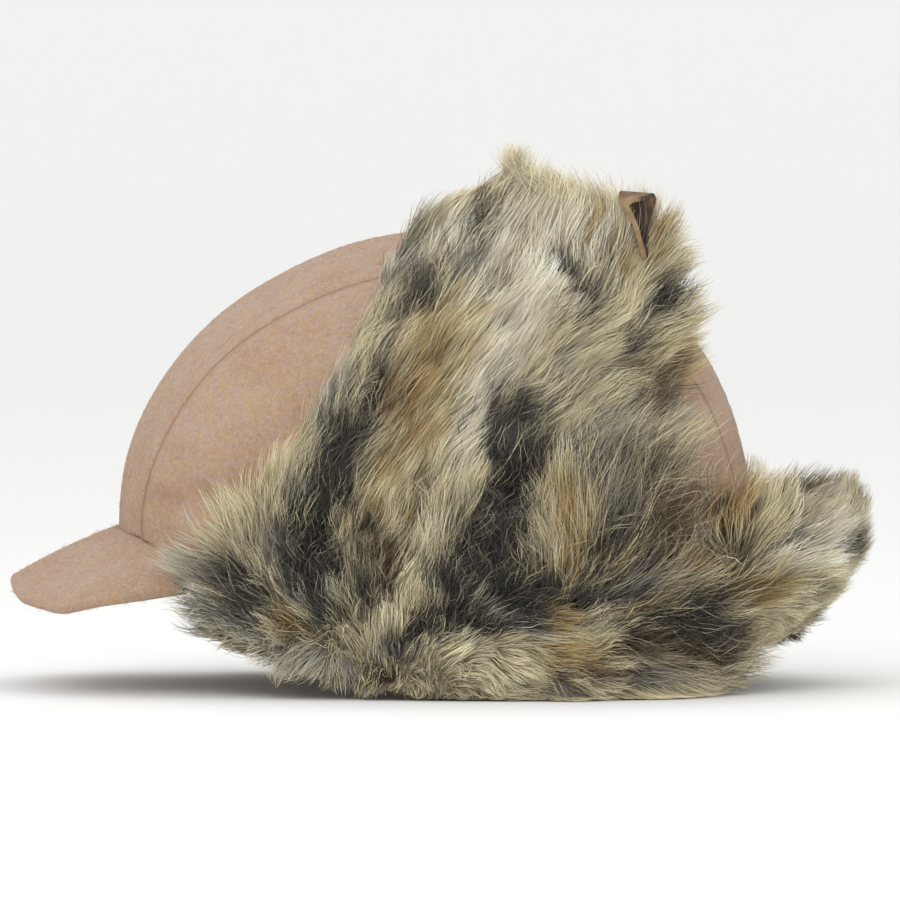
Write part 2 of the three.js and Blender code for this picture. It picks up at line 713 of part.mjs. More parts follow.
const hat = new THREE.Group();
hat.add(
  cloth('crown_centre_panel', centrePanel(), WOOL, 0.95),
  cloth('crown_side_panel_left', sidePanel(-1), WOOL, 0.95),
  cloth('crown_side_panel_right', sidePanel(1), WOOL, 0.95),
  cloth('visor', visor(), WOOL, 0.95),
  cloth('ear_flap_left', leftFlap, FUR, 0.9),
  cloth('ear_flap_right', rightFlap, FUR, 0.9),
  cloth('neck_flap', neckFlap([leftFlap, rightFlap]), FUR, 0.9),
  cloth('flap_loop', flapLoop(), SUEDE, 0.85),
);

// The origin is the middle of the hat's box, on the table.
const box = new THREE.Box3().setFromObject(hat);
hat.position.set(-(box.min.x + box.max.x) / 2, -(box.min.y + box.max.y) / 2, -box.min.z);

export default hat;
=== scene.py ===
# %% [markdown]
# # An aviator hat in felted wool with turned-up fur flaps
# The hat is a felt crown in three panels, a short felt visor, two ear flaps and a neck flap of
# long fur, and a tape loop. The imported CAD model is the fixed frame: it gives the places and sizes,
# and this lesson dresses it with finished cloth and hair.

import math

import bmesh
import bpy
import numpy as np
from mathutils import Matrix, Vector
from mathutils.kdtree import KDTree


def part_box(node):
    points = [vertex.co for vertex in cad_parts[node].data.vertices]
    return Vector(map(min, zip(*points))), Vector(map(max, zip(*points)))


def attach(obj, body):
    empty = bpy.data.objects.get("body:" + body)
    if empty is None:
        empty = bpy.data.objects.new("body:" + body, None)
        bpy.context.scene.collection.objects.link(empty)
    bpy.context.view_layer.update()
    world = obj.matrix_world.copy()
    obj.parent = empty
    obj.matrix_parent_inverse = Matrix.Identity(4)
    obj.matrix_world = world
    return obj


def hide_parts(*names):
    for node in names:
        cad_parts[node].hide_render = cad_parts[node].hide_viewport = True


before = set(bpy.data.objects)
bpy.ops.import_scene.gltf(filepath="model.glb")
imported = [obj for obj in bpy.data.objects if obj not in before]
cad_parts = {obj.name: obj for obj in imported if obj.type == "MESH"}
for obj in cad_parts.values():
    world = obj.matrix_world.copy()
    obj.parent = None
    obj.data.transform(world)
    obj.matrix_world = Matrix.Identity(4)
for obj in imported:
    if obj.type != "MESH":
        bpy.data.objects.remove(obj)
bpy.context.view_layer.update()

# %% [markdown]
# ## Camera
# The hat is seen from the wearer's left, a little above the table. A long lens from three metres keeps
# the near flap and the far flap almost the same size, as a product picture does. The camera is made
# first, because everything else is judged through it.

# %% Camera
MM = 0.001
CAMERA_DISTANCE = 3.2
CAMERA_RISE = 2.0  # degrees above the level
CAMERA_TARGET = Vector((0.0, 0.0, 0.0845))
PICTURE_WIDTH = 0.3235  # what the picture's width spans at the hat

rise = math.radians(CAMERA_RISE)
camera_data = bpy.data.cameras.new("camera")
camera_data.lens = camera_data.sensor_width * CAMERA_DISTANCE / PICTURE_WIDTH
camera = bpy.data.objects.new("camera", camera_data)
camera.location = CAMERA_TARGET + CAMERA_DISTANCE * Vector((0, -math.cos(rise), math.sin(rise)))
camera.rotation_euler = (math.pi / 2 - rise, 0, 0)
bpy.context.scene.collection.objects.link(camera)
bpy.context.scene.camera = camera
print("lens", round(camera_data.lens), "mm")

# %% [markdown]
# ## Colours and nodes
# Colours are given as the sRGB hex values seen on a screen, and the shader wants linear light, so one
# function turns them. Another adds a node with its settings and links, which keeps each material below to one
# line a node.

# %% Colour and node helpers
def linear(code):
    values = np.array([int(code[i:i + 2], 16) for i in (1, 3, 5)]) / 255
    return np.where(values <= 0.04045, values / 12.92, ((values + 0.055) / 1.055) ** 2.4)


def rgba(code):
    return (*linear(code), 1.0)


def add_node(material, kind, values=None, links=None, **settings):
    tree = material.node_tree
    node = tree.nodes.new(kind)
    for name, value in settings.items():
        setattr(node, name, value)
    for name, value in (values or {}).items():
        node.inputs[name].default_value = value
    for name, socket in (links or {}).items():
        tree.links.new(socket, node.inputs[name])
    return node


def new_material(name, values):
    material = bpy.data.materials.new(name)
    material.use_nodes = True
    shader = material.node_tree.nodes["Principled BSDF"]
    for socket, value in values.items():
        shader.inputs[socket].default_value = value
    return material, shader


def feed(material, shader, colour, normal=None):
    material.node_tree.links.new(colour, shader.inputs["Base Color"])
    if normal is not None:
        material.node_tree.links.new(normal, shader.inputs["Normal"])


def add_object(name, mesh, material):
    mesh.materials.append(material)
    mesh.shade_smooth()
    piece = bpy.data.objects.new(name, mesh)
    bpy.context.scene.collection.objects.link(piece)
    return piece


def mesh_points(mesh):
    places = np.empty(len(mesh.vertices) * 3)
    mesh.vertices.foreach_get("co", places)
    return places.reshape(-1, 3)


# %% [markdown]
# ## Felted wool
# Melton wool is woven, then milled and brushed until the threads disappear under a soft nap. The eye
# sees no weave, only a matt cloth with short fibres, small lighter and darker neps about a
# millimetre wide, and broad soft patches where the nap lies another way. So there are five noises,
# from 0.8 to 24 millimetres, and no gloss, with some sheen from the fibre ends.

# %% Felted wool material
def felted_wool(name, tan, rose, rust, pale, seam):
    material, shader = new_material(name, {
        "Roughness": 0.95, "Specular IOR Level": 0.12, "Sheen Weight": 0.2, "Sheen Roughness": 0.6,
    })
    place = add_node(material, "ShaderNodeTexCoord").outputs["Object"]

    def spots(size, low, high, detail=3.0, distortion=0.0, roughness=0.6):
        noise = add_node(material, "ShaderNodeTexNoise", {
            "Scale": 1000 / size, "Detail": detail, "Distortion": distortion, "Roughness": roughness,
        }, {"Vector": place})
        reach = add_node(material, "ShaderNodeMapRange", {"From Min": low, "From Max": high},
                         {"Value": noise.outputs["Fac"]})
        return noise.outputs["Fac"], reach.outputs["Result"]

    def mix(under, over, factor, amount=1.0):
        scaled = add_node(material, "ShaderNodeMath", {1: amount}, {0: factor}, operation="MULTIPLY")
        node = add_node(material, "ShaderNodeMix", {7: rgba(over)} if isinstance(over, str) else None,
                        {"Factor": scaled.outputs[0], 6: under}, data_type="RGBA")
        return node.outputs[2]

    _, hue_spots = spots(3.0, 0.42, 0.58, 4.0, 0.6, 0.8)
    neps, nep_spots = spots(1.5, 0.45, 0.62, 3.0, 0.5, 0.7)
    _, fleck_spots = spots(2.0, 0.53, 0.64, 4.0, 1.0, 0.8)
    _, nap_patches = spots(24, 0.42, 0.64)
    fibres, _ = spots(0.8, 0, 1, 3.0, 2.0)
    base = add_node(material, "ShaderNodeMix", {6: rgba(tan), 7: rgba(rose)}, {"Factor": hue_spots},
                    data_type="RGBA")
    cloth = mix(base.outputs[2], rust, nap_patches, 0.4)
    cloth = mix(cloth, pale, nep_spots, 0.42)
    cloth = mix(cloth, rust, fleck_spots, 0.5)
    # painted shade: the felt is darkened towards the seam colour in seams, creases and along the visor's
    # edges, by a per-point amount
    shade = add_node(material, "ShaderNodeAttribute", attribute_name="pressed_or_painted_shade")
    cloth = mix(cloth, seam, shade.outputs["Fac"])
    height = add_node(material, "ShaderNodeMath", None, {0: neps, 1: fibres}, operation="ADD")
    bump = add_node(material, "ShaderNodeBump", {"Strength": 0.8, "Distance": 0.0008},
                    {"Height": height.outputs[0]})
    feed(material, shader, cloth, bump.outputs["Normal"])
    return material


# seam is the colour of the painted shade in seams and creases
wool = felted_wool("felted_wool", tan="#bc9a76", rose="#b2978a", rust="#a3784f", pale="#c2b1a0",
                   seam="#80512e")
print("felted wool ready")

# %% [markdown]
# ## The crown's shape
# The crown is a dome over an oval plan, cut by a sloping rim. The same few formulas as in the CAD
# source give any point of it, so the cloth here lies exactly where the solid does. They work on
# whole arrays of points in millimetres, in the drawing's own axes, and `to_frame` brings the
# result into the frame.

# %% Crown sizes and surface
CROWN_FRONT, CROWN_BACK, CROWN_HALF_WIDTH, CROWN_RISE = 130.0, 97.0, 88.0, 105.0
WIDEST_LEVEL, WIDEST_X = 60.0, 10.8
RIM_FRONT_Z, RIM_BACK_Z, RIM_ARCH, RIM_ARCH_REACH = 51.0, 37.0, 6.5, 34.0
ROUNDNESS, RIM_TUCK = 2.2, 0.02
FELT, SEAM_GAP = 2.5, 0.3
CLOSED = 0.04  # the sewn cloth shows no gap, only a valley
PANEL_HALF_FRONT, PANEL_HALF_TOP, PANEL_HALF_BACK = 40.0, 50.0, 36.0

panel_low, panel_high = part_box("crown_centre_panel")
SHIFT = np.array([panel_low[0] / MM - (WIDEST_X - CROWN_FRONT), (panel_low[1] + panel_high[1]) / 2 / MM, 0.0])
print("the drawing is moved by", SHIFT.round(3), "mm")


def to_frame(points):
    return (np.asarray(points) + SHIFT) * MM


def round_off(share):
    return np.maximum(0, 1 - np.abs(share) ** ROUNDNESS) ** (1 / ROUNDNESS)


def tuck(z):
    return 1 - RIM_TUCK * (np.maximum(0, WIDEST_LEVEL - z) / (WIDEST_LEVEL - RIM_BACK_Z)) ** 2


def rim_height(x):
    from_front = x - WIDEST_X + CROWN_FRONT
    slope = (RIM_BACK_Z - RIM_FRONT_Z) / (CROWN_FRONT + CROWN_BACK)
    arch = np.clip((RIM_ARCH_REACH - from_front) / RIM_ARCH_REACH, 0, 1) ** 1.4
    return RIM_FRONT_Z + from_front * slope + RIM_ARCH * arch


def along_share(x):
    return (x - WIDEST_X) / np.where(x < WIDEST_X, CROWN_FRONT, CROWN_BACK)


def side_reach(x, z):
    size = tuck(z)
    up = np.maximum(0, z - WIDEST_LEVEL) / CROWN_RISE
    return CROWN_HALF_WIDTH * size * round_off(np.hypot(along_share(x) / size, up))


def crown_level(p):
    size = tuck(p[..., 2])
    up = np.maximum(0, p[..., 2] - WIDEST_LEVEL) / CROWN_RISE
    profile = np.hypot(along_share(p[..., 0]) / size, up)
    return profile ** ROUNDNESS + np.abs(p[..., 1] / (CROWN_HALF_WIDTH * size)) ** ROUNDNESS


def unit(vectors):
    return vectors / np.maximum(1e-9, np.linalg.norm(vectors, axis=-1, keepdims=True))


def crown_normal(p):
    steps = np.eye(3) * 0.01
    return unit(np.stack([crown_level(p + s) - crown_level(p - s) for s in steps], axis=-1))


def crown_point(stage, y):
    turn = np.clip(stage, 0, 1) * math.pi
    inside = round_off(y / CROWN_HALF_WIDTH)
    size = np.where(np.cos(turn) > 0, CROWN_FRONT, CROWN_BACK)
    x = WIDEST_X - size * inside * np.cos(turn)
    z = WIDEST_LEVEL + CROWN_RISE * inside * np.sin(turn)
    down = np.maximum(0, np.maximum(-stage, stage - 1))
    low = WIDEST_LEVEL + (rim_height(x) - WIDEST_LEVEL) * down
    narrow = round_off(y / (CROWN_HALF_WIDTH * tuck(low)))
    x_low = WIDEST_X - np.sign(np.cos(turn)) * size * tuck(low) * narrow
    x = np.where(down > 0, x_low, x)
    z = np.where(down > 0, np.where(down >= 1, rim_height(x_low), low), z)
    return np.stack([x, y + 0 * x, z], axis=-1)


def seam_half(stage):
    turn = np.clip(stage, 0, 1) * math.pi
    edge = np.where(np.cos(turn) > 0, PANEL_HALF_FRONT, PANEL_HALF_BACK)
    return edge + (PANEL_HALF_TOP - edge) * np.sin(turn)


# %% [markdown]
# ## Crown panels
# Each panel starts as a flat grid from a bmesh operator. Its corners' places in the grid are read as
# two shares and moved onto the dome, which is how a flat piece of felt is steamed over a block. The
# cloth dips into the seam, and the pressed seam allowance lifts a strip nine millimetres wide beside
# it. A Solidify modifier then gives the felt its thickness inwards.

# %% A grid laid on a surface
def laid_grid(name, columns, rows, surface, material):
    """A grid whose two shares, 0 to 1, are turned into points in millimetres by surface."""
    bm = bmesh.new()
    bmesh.ops.create_grid(bm, x_segments=columns, y_segments=rows, size=0.5)
    share = np.array([v.co[:2] for v in bm.verts]) + 0.5
    points, pressed_or_painted_shade = surface(share[:, 0], share[:, 1])
    for vertex, place in zip(bm.verts, to_frame(points)):
        vertex.co = place
    for edge in bm.edges:
        edge.smooth = not edge.is_boundary
    mesh = bpy.data.meshes.new(name)
    bm.to_mesh(mesh)
    bm.free()
    # the surface's second result is the amount of painted shade at each point
    mesh.attributes.new("pressed_or_painted_shade", "FLOAT", "POINT").data.foreach_set("value", pressed_or_painted_shade)
    piece = add_object(name, mesh, material)
    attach(piece, "root")
    return piece


def give_wall(piece, thickness, offset, **settings):
    wall = piece.modifiers.new("wall", "SOLIDIFY")
    wall.thickness = thickness * MM
    wall.offset = offset
    for key, value in settings.items():
        setattr(wall, key, value)


def bell(distance, width):
    return np.exp(-((distance / width) ** 2))


# %% [markdown]
# The nap is a little uneven on the real crown: it dents and swells by half a millimetre over the
# width of a thumb. A few waves with fixed directions give that without a texture.

# %% Soft unevenness
def uneven(points, size, seed):
    rng = np.random.default_rng(seed)
    total = np.zeros(points.shape[:-1])
    for _ in range(9):
        way = unit(rng.normal(size=3)) * 2 * math.pi / (size * rng.uniform(0.7, 1.6))
        total += np.sin(points @ way + rng.uniform(0, 6.28)) / 3
    return total


# %% Centre panel
ALLOWANCE, ALLOWANCE_CREST, ALLOWANCE_LINE = 8.6, 7.4, 9.6  # its edge, highest line and outer shade
ALLOWANCE_LIFT, VALLEY, SWELL = 1.15, 0.7, 0.45


def centre_surface(u, v):
    stage = -1 + 3 * u
    side = 2 * v - 1
    # columns crowd towards the seams, where the shape changes fastest
    side = np.sign(side) * (1 - (1 - np.abs(side)) ** 1.25)
    half = seam_half(stage) - CLOSED / 2
    y = side * half
    point = crown_point(stage, y)
    edge = half - np.abs(y)
    fade = np.sin(np.clip((stage + 1) / 3, 0, 1) * math.pi) ** 0.3
    strip = 1 / (1 + np.exp((edge - ALLOWANCE) / 0.7)) * (0.82 + 0.18 * bell(edge - ALLOWANCE_CREST, 1.6))
    lift = ALLOWANCE_LIFT * strip * fade + SWELL * uneven(point, 34, 3) * fade
    lift = lift - VALLEY * bell(edge, 1.5)
    at_rim = (u < 1e-5) | (u > 1 - 1e-5)
    lift = np.where(at_rim, 0, lift)
    # painted shade in the seam's valley and along the outer edge of the seam allowance
    pressed_or_painted_shade = 0.8 * bell(edge, 0.9) + 0.12 * bell(edge - ALLOWANCE_LINE, 1.2) * fade
    return point + crown_normal(point) * lift[:, None], pressed_or_painted_shade


centre = laid_grid("centre_panel_felt", 150, 60, centre_surface, wool)
give_wall(centre, FELT, -1)
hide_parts("crown_centre_panel")
print(centre.name, len(centre.data.vertices), "points")

# %% [markdown]
# A side panel fans out from the middle of its lower edge to the seam, so its grid's rows are rays. A
# soft crease runs across its front, as if the hat had been folded for packing, and the felt swells
# below it.

# %% Side panels
CREASES = [  # along, up, reach along, reach up, depth in mm, darkening by painted shade
    (-0.64, 0.125, 0.24, 0.050, -2.0, 0.12),
    (-0.73, 0.104, 0.13, 0.020, -0.9, 0.42),
    (-0.60, 0.150, 0.10, 0.030, -0.5, 0.18),
    (-0.70, 0.010, 0.20, 0.070, 1.7, 0.0),
    (-0.20, 0.30, 0.30, 0.12, -0.8, 0.03),
]
CREASE_X, CREASE_Z, CREASE_SLOPE = -80, 70.5, 0.04  # the sharpest one, as a line


def side_surface(side):
    def surface(u, v):
        stage = -1 + 3 * u
        ring = 1 - (1 - v) ** 1.15
        seam = crown_point(stage, seam_half(stage))
        foot = np.array([WIDEST_X, rim_height(WIDEST_X)])
        ray = seam[:, [0, 2]] - foot
        shorter = 1 - CLOSED / 2 / np.linalg.norm(ray, axis=1)
        spot = foot + ray * (ring * shorter)[:, None]
        x = spot[:, 0]
        at_rim = (u < 1e-5) | (u > 1 - 1e-5) | (v < 1e-5)
        z = np.where(at_rim, rim_height(x), spot[:, 1])
        point = np.stack([x, side * side_reach(x, z), z], axis=-1)
        edge = (1 - ring) * np.linalg.norm(ray, axis=1)
        lift = 0.5 * uneven(point, 38, 7 + side) - VALLEY * bell(edge, 1.5) + 0.5 * bell(edge - 3.5, 2.5)
        past = point[:, 0] - CREASE_X
        fold = bell(point[:, 2] - CREASE_Z - CREASE_SLOPE * past, 2.4) * bell(past, 17)
        lift = lift - 0.7 * fold
        # painted shade in the seam's valley and in the fold's crease
        pressed_or_painted_shade = 0.8 * bell(edge, 0.9) + 0.4 * fold
        for along, up, reach_along, reach_up, depth, dark in CREASES:
            level = (z - WIDEST_LEVEL) / CROWN_RISE
            near = bell(along_share(x) - along, reach_along) * bell(level - up, reach_up)
            lift = lift + depth * near * (1 - ring ** 6)
            pressed_or_painted_shade = pressed_or_painted_shade + dark * near
        lift = np.where(at_rim, 0, lift)
        return point + crown_normal(point) * lift[:, None], np.clip(pressed_or_painted_shade, 0, 1)
    return surface


for side, word in ((-1, "left"), (1, "right")):
    panel = laid_grid(f"side_panel_felt_{word}", 150, 56, side_surface(side), wool)
    if side < 0:
        panel.data.flip_normals()
    give_wall(panel, FELT, -1)
    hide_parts(f"crown_side_panel_{word}")
    print(panel.name, len(panel.data.vertices), "points")

# %% [markdown]
# ## Visor
# The visor is a short stiff peak with the same felt on both sides, sewn to the rim at the forehead.
# The grid here runs from the crown over the top, round the lip and back underneath, so the lip is round
# without any cutting. A thin line of painted shade just above the lower edge marks the seam where the two
# felts meet, and painted shade darkens the visor where it meets the crown.

# %% Visor
VISOR_REACH, VISOR_DROP, VISOR_THICKNESS, VISOR_SPAN = 38.0, 22.5, 3.6, 42.0
VISOR_TOP, VISOR_LIP = 0.44, 0.12  # shares of the way round: over the top, then round the lip
VISOR_SHARES = ([0, 0.3, 0.6, 0.8, 1], [1, 0.995, 0.945, 0.86, 0.24], [0.78, 1, 1, 0.72, 0.45])


def rim_point(degrees, end):
    turn = np.radians(degrees)
    power = 2 / ROUNDNESS
    size = CROWN_FRONT if end < 0 else CROWN_BACK
    reach = np.abs(np.cos(turn)) ** power
    y = CROWN_HALF_WIDTH * np.sign(np.sin(turn)) * np.abs(np.sin(turn)) ** power
    z = rim_height(WIDEST_X + end * size * reach)
    point = np.stack([WIDEST_X + end * size * tuck(z) * reach, y * tuck(z), z], axis=-1)
    out = crown_normal(point) * [1, 1, 0]
    return point, unit(out)


def smooth_table(value, keys, column):
    """Reads a table with a smooth curve through its rows."""
    fine = np.linspace(keys[0], keys[-1], 400)
    straight = np.interp(fine, keys, column)
    soft = np.convolve(np.pad(straight, 30, mode="edge"), np.hanning(61) / np.hanning(61).sum(), "valid")
    return np.interp(value, fine, soft)


def visor_surface(u, v):
    span = 2 * u - 1
    point, out = rim_point(span * VISOR_SPAN, -1)
    reach = VISOR_REACH * smooth_table(np.abs(span), VISOR_SHARES[0], VISOR_SHARES[1])
    drop = VISOR_DROP * smooth_table(np.abs(span), VISOR_SHARES[0], VISOR_SHARES[2])
    # v runs over the top, round the lip and back underneath
    across = np.clip(np.minimum(v, 1 - v) / VISOR_TOP, 0, 1)
    lip = np.clip((v - VISOR_TOP) / VISOR_LIP, 0, 1) * math.pi
    across = -FELT / reach + (1 + FELT / reach) * across
    sink = np.maximum(0, across)
    place = point + out * (across * reach)[:, None]
    start = rim_height(place[:, 0]) - CLOSED
    place[:, 2] = np.minimum(start, point[:, 2] - CLOSED - drop * sink ** 1.25)
    slope = (drop / reach) * 1.25 * sink ** 0.25
    down = unit(out * -slope[:, None] + [0, 0, -1])
    forward = unit(out - down * np.sum(out * down, axis=1)[:, None])
    half = VISOR_THICKNESS / 2
    round_lip = forward * (0.9 * half * np.sin(lip))[:, None]
    place = place + down * (half - half * np.cos(lip))[:, None] + round_lip
    wave = 0.35 * uneven(place, 30, 21) * np.clip(across * 3, 0, 1) * (v < 0.5)
    place = place - down * wave[:, None]
    # painted shade: a thin line just above the lower edge, and where the visor meets the crown
    pressed_or_painted_shade = 0.45 * bell(v - 0.545, 0.006) + 0.6 * bell(across, 0.025)
    return place, pressed_or_painted_shade


visor = laid_grid("visor_felt", 110, 110, visor_surface, wool)
bm = bmesh.new()
bm.from_mesh(visor.data)
bmesh.ops.holes_fill(bm, edges=[e for e in bm.edges if e.is_boundary], sides=0)
bmesh.ops.recalc_face_normals(bm, faces=bm.faces)
bm.to_mesh(visor.data)
bm.free()
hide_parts("visor")
print(visor.name, len(visor.data.vertices), "points")

# %% [markdown]
# ## Pelts
# An ear flap is one strip of lined fur. It is sewn to the rim, hangs down to a fold on the table and
# turns up outside the crown. Two shares give any point of its cloth side: along the flap from front
# to back, and along its path, from 0 to 1 down the hidden leg, to 2 round the fold and to 3 up to
# the tip. The hair later grows from the same surface.

# %% Ear flap surface
PELT, FLAP_CLEARANCE = 3.0, 1.6
SKIN_SINK, ROOT_SINK, LINING = 0.4, 0.6, 0.8  # the skin, the hair's roots and the wool, off the pelt's faces
FLAP_FRONT_X, FLAP_LENGTH, FLAP_TOP_Z, FLAP_LEAN = -86.0, 181.0, 172.0, 47.0
FOLD_RADIUS, FOLD_SINK, FOLD_RISE_FRONT, FOLD_RISE_BACK = 2.6, 1.0, 24.0, 9.0
FOLD_FLAT_FRONT, FOLD_FLAT_BACK = 20.0, 68.0  # the fold rests on the table between these
FLAP_UP = [0, 0.034, 0.167, 0.277, 0.387, 0.497, 0.607, 0.739, 0.87, 0.93, 0.97, 1]
FLAP_FRONT = [0, 0.005, 0.045, 0.095, 0.156, 0.213, 0.258, 0.318, 0.365, 0.395, 0.43, 0.48]
FLAP_BACK = [1, 0.99, 0.91, 0.86, 0.835, 0.845, 0.878, 0.905, 0.895, 0.872, 0.82, 0.74]


def fold_height(x):
    front = np.clip((FOLD_FLAT_FRONT - x) / (FOLD_FLAT_FRONT - FLAP_FRONT_X), 0, 1)
    back = np.clip((x - FOLD_FLAT_BACK) / (FLAP_FRONT_X + FLAP_LENGTH - FOLD_FLAT_BACK), 0, 1)
    return FOLD_RISE_FRONT * front ** 1.9 + FOLD_RISE_BACK * back ** 2 - FOLD_SINK


def flap_reach(x, z):
    lean = FLAP_LEAN * (z - WIDEST_LEVEL) / (FLAP_TOP_Z - WIDEST_LEVEL)
    free = (CROWN_HALF_WIDTH - np.maximum(0, lean)) * round_off(0.95 * along_share(x))
    held = side_reach(x, np.maximum(z, rim_height(x)))
    return (free + held + np.hypot(free - held, 6)) / 2 + FLAP_CLEARANCE


def flap_point(along, path):
    up = np.clip(path - 2, 0, 1)
    front, back = np.interp(up, FLAP_UP, FLAP_FRONT), np.interp(up, FLAP_UP, FLAP_BACK)
    x = FLAP_FRONT_X + FLAP_LENGTH * (front + (back - front) * along)
    wall = side_reach(x, rim_height(x))
    bottom = fold_height(x) + PELT
    inner_z = rim_height(x) - SEAM_GAP
    inner_z = inner_z + (bottom + FOLD_RADIUS - inner_z) * path
    turn = (path - 1) * math.pi
    fold_y = wall + FOLD_RADIUS * (1 - np.cos(turn))
    fold_z = bottom + FOLD_RADIUS * (1 - np.sin(turn))
    z = bottom + FOLD_RADIUS + (FLAP_TOP_Z - bottom - FOLD_RADIUS) * up
    rise = np.clip((z - bottom - FOLD_RADIUS) / (WIDEST_LEVEL - bottom), 0, 1)
    belly = wall + 2 * FOLD_RADIUS
    y = belly + (flap_reach(x, z) - belly) * rise * rise * (3 - 2 * rise)
    y = np.where(path <= 1, wall, np.where(path < 2, fold_y, y))
    z = np.where(path <= 1, inner_z, np.where(path < 2, fold_z, z))
    return np.stack([x, -y, z], axis=-1)


# %% [markdown]
# Hair needs to know which way is up the flap, which way is back and which way is out. These come
# from points a little to each side, so they hold for any surface that is given as a function of two
# shares.

# %% Directions on a surface
def surface_ways(surface, a, b, a_range, b_range, step=0.01):
    a0, a1 = np.maximum(a_range[0], a - step), np.minimum(a_range[1], a + step)
    b0, b1 = np.maximum(b_range[0], b - step), np.minimum(b_range[1], b + step)
    across = unit(surface(a1, b) - surface(a0, b))
    up = unit(surface(a, b1) - surface(a, b0))
    out = unit(np.cross(across, up))
    return surface(a, b), across, up, out


def flap_ways(along, path):
    return surface_ways(flap_point, along, path, (0, 1), (0, 3))


def mirror(points):
    return points * [1, -1, 1]


# %% [markdown]
# The skin under the hair is dark, and the eye meets it only as depth between the locks. The other
# side of the strip is the same wool as the crown. One grid with a Solidify modifier carries both, the
# skin on its own face and the wool on the face behind.

# %% Hide material
# Skin and the short dense underfur on it, painted with the colours of the hair that grows there.
hide, hide_shader = new_material("dyed_hide", {"Roughness": 0.95, "Specular IOR Level": 0.1})
place = add_node(hide, "ShaderNodeTexCoord").outputs["Object"]
grain = add_node(hide, "ShaderNodeTexNoise", {"Scale": 1000 / 1.2, "Detail": 4}, {"Vector": place})
depth = add_node(hide, "ShaderNodeMapRange", {
    "From Min": 0.3, "From Max": 0.7, "To Min": 0.35, "To Max": 1.0,
}, {"Value": grain.outputs["Fac"]})
coat = add_node(hide, "ShaderNodeAttribute", attribute_name="underfur")
tone = add_node(hide, "ShaderNodeMix", {6: rgba("#1d1915")},
                {"Factor": depth.outputs["Result"], 7: coat.outputs["Color"]}, data_type="RGBA")
feed(hide, hide_shader, tone.outputs[2])


# %% Ear flap pelts
LOWEST = 0.2  # the skin stays this far above the table, in millimetres


def flap_skin(side):
    def surface(u, v):
        path = 3 * v ** 0.85
        point, _, _, out = flap_ways(u, path)
        edge = np.minimum(np.minimum(u, 1 - u) * 60, (3 - path) * 40)
        thick = (PELT - SKIN_SINK) * np.clip(0.45 + edge / 4, 0, 1)
        point = point + out * thick[:, None]
        sewn = rim_height(point[:, 0]) - SEAM_GAP
        point[:, 2] = np.where(v < 1e-5, sewn, np.maximum(point[:, 2], LOWEST))
        return (mirror(point) if side > 0 else point), 0 * u
    return surface


pelts = {}
for side, word in ((-1, "left"), (1, "right")):
    pelt = laid_grid(f"ear_flap_pelt_{word}", 60, 90, flap_skin(side), hide)
    pelt.data.materials.append(wool)
    if side > 0:
        pelt.data.flip_normals()
    give_wall(pelt, PELT - LINING, -1, material_offset=1, material_offset_rim=1)
    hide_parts(f"ear_flap_{word}")
    pelts[word] = pelt
    print(pelt.name, len(pelt.data.vertices), "points")

# %% [markdown]
# The neck flap is a strip round the nape. It hangs from the rim, folds and stands up behind like a
# cuff, well away from the crown.

# %% Neck flap surface and pelt
NECK_SPAN, NECK_REACH, NECK_DEPTH, NECK_STAND = 43.0, 35.5, 16.0, 46.0
NECK_OUT = [0, 0.01, 0.08, 0.26, 0.52, 0.77, 0.95, 1, 0.95]
NECK_DOWN = [0, 0.5, 0.94, 1, 1, 1, 1, 1, 1]
NECK_UP = [0, 0, 0, 0, 0.13, 0.34, 0.6, 0.82, 1]
NECK_WIDE = [0.68, 0.68, 0.68, 0.7, 0.78, 0.87, 0.95, 1, 1]


def neck_point(span, section):
    rows = np.linspace(0, 1, len(NECK_OUT))
    out_share, down, stand, wide = (np.interp(section, rows, column)
                                    for column in (NECK_OUT, NECK_DOWN, NECK_UP, NECK_WIDE))
    point, out = rim_point(span * NECK_SPAN * wide, 1)
    flare = 0.32 + 0.68 * np.cos(span * math.pi / 2) ** 0.8
    level = point[:, 2] + (RIM_BACK_Z - point[:, 2]) * np.clip(down * 2, 0, 1)
    place = point + out * (NECK_REACH * flare * out_share)[:, None]
    place[:, 2] = level - SEAM_GAP - NECK_DEPTH * down + NECK_STAND * stand
    return place


def neck_ways(span, section):
    return surface_ways(neck_point, span, section, (-1, 1), (0, 1), 0.02)


def neck_skin(u, v):
    point, _, _, out = neck_ways(2 * u - 1, v)
    point = point + out * (PELT - SKIN_SINK)
    point[:, 2] = np.where(v < 1e-5, rim_height(point[:, 0]) - SEAM_GAP, point[:, 2])
    return point, 0 * u


pelts["neck"] = laid_grid("neck_flap_pelt", 70, 50, neck_skin, hide)
pelts["neck"].data.materials.append(wool)
give_wall(pelts["neck"], PELT - LINING, -1, material_offset=1, material_offset_rim=1)
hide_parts("neck_flap")
print("neck flap pelt ready")

# %% [markdown]
# ## Hair
# A real pelt has a dense short underfur and long guard hairs over it, which gather into pointed
# locks. Every hair here is a flat ribbon of three to seven small triangles, made from arrays because
# there are many thousands. The steps are: scatter roots evenly over the skin, bend each hair along
# the nap, draw neighbours together towards the tips, and colour it from root to tip.

# %% Hair material
# Long-pile fur: fine, slightly glossy fibres. The colour of each hair is in the mesh's own attribute.
fur, fur_shader = new_material("long_pile_fur", {
    "Roughness": 0.55, "Specular IOR Level": 0.3, "Sheen Weight": 0.12, "Sheen Roughness": 0.4,
})
hair_colour = add_node(fur, "ShaderNodeAttribute", attribute_name="hair_colour")
feed(fur, fur_shader, hair_colour.outputs["Color"])


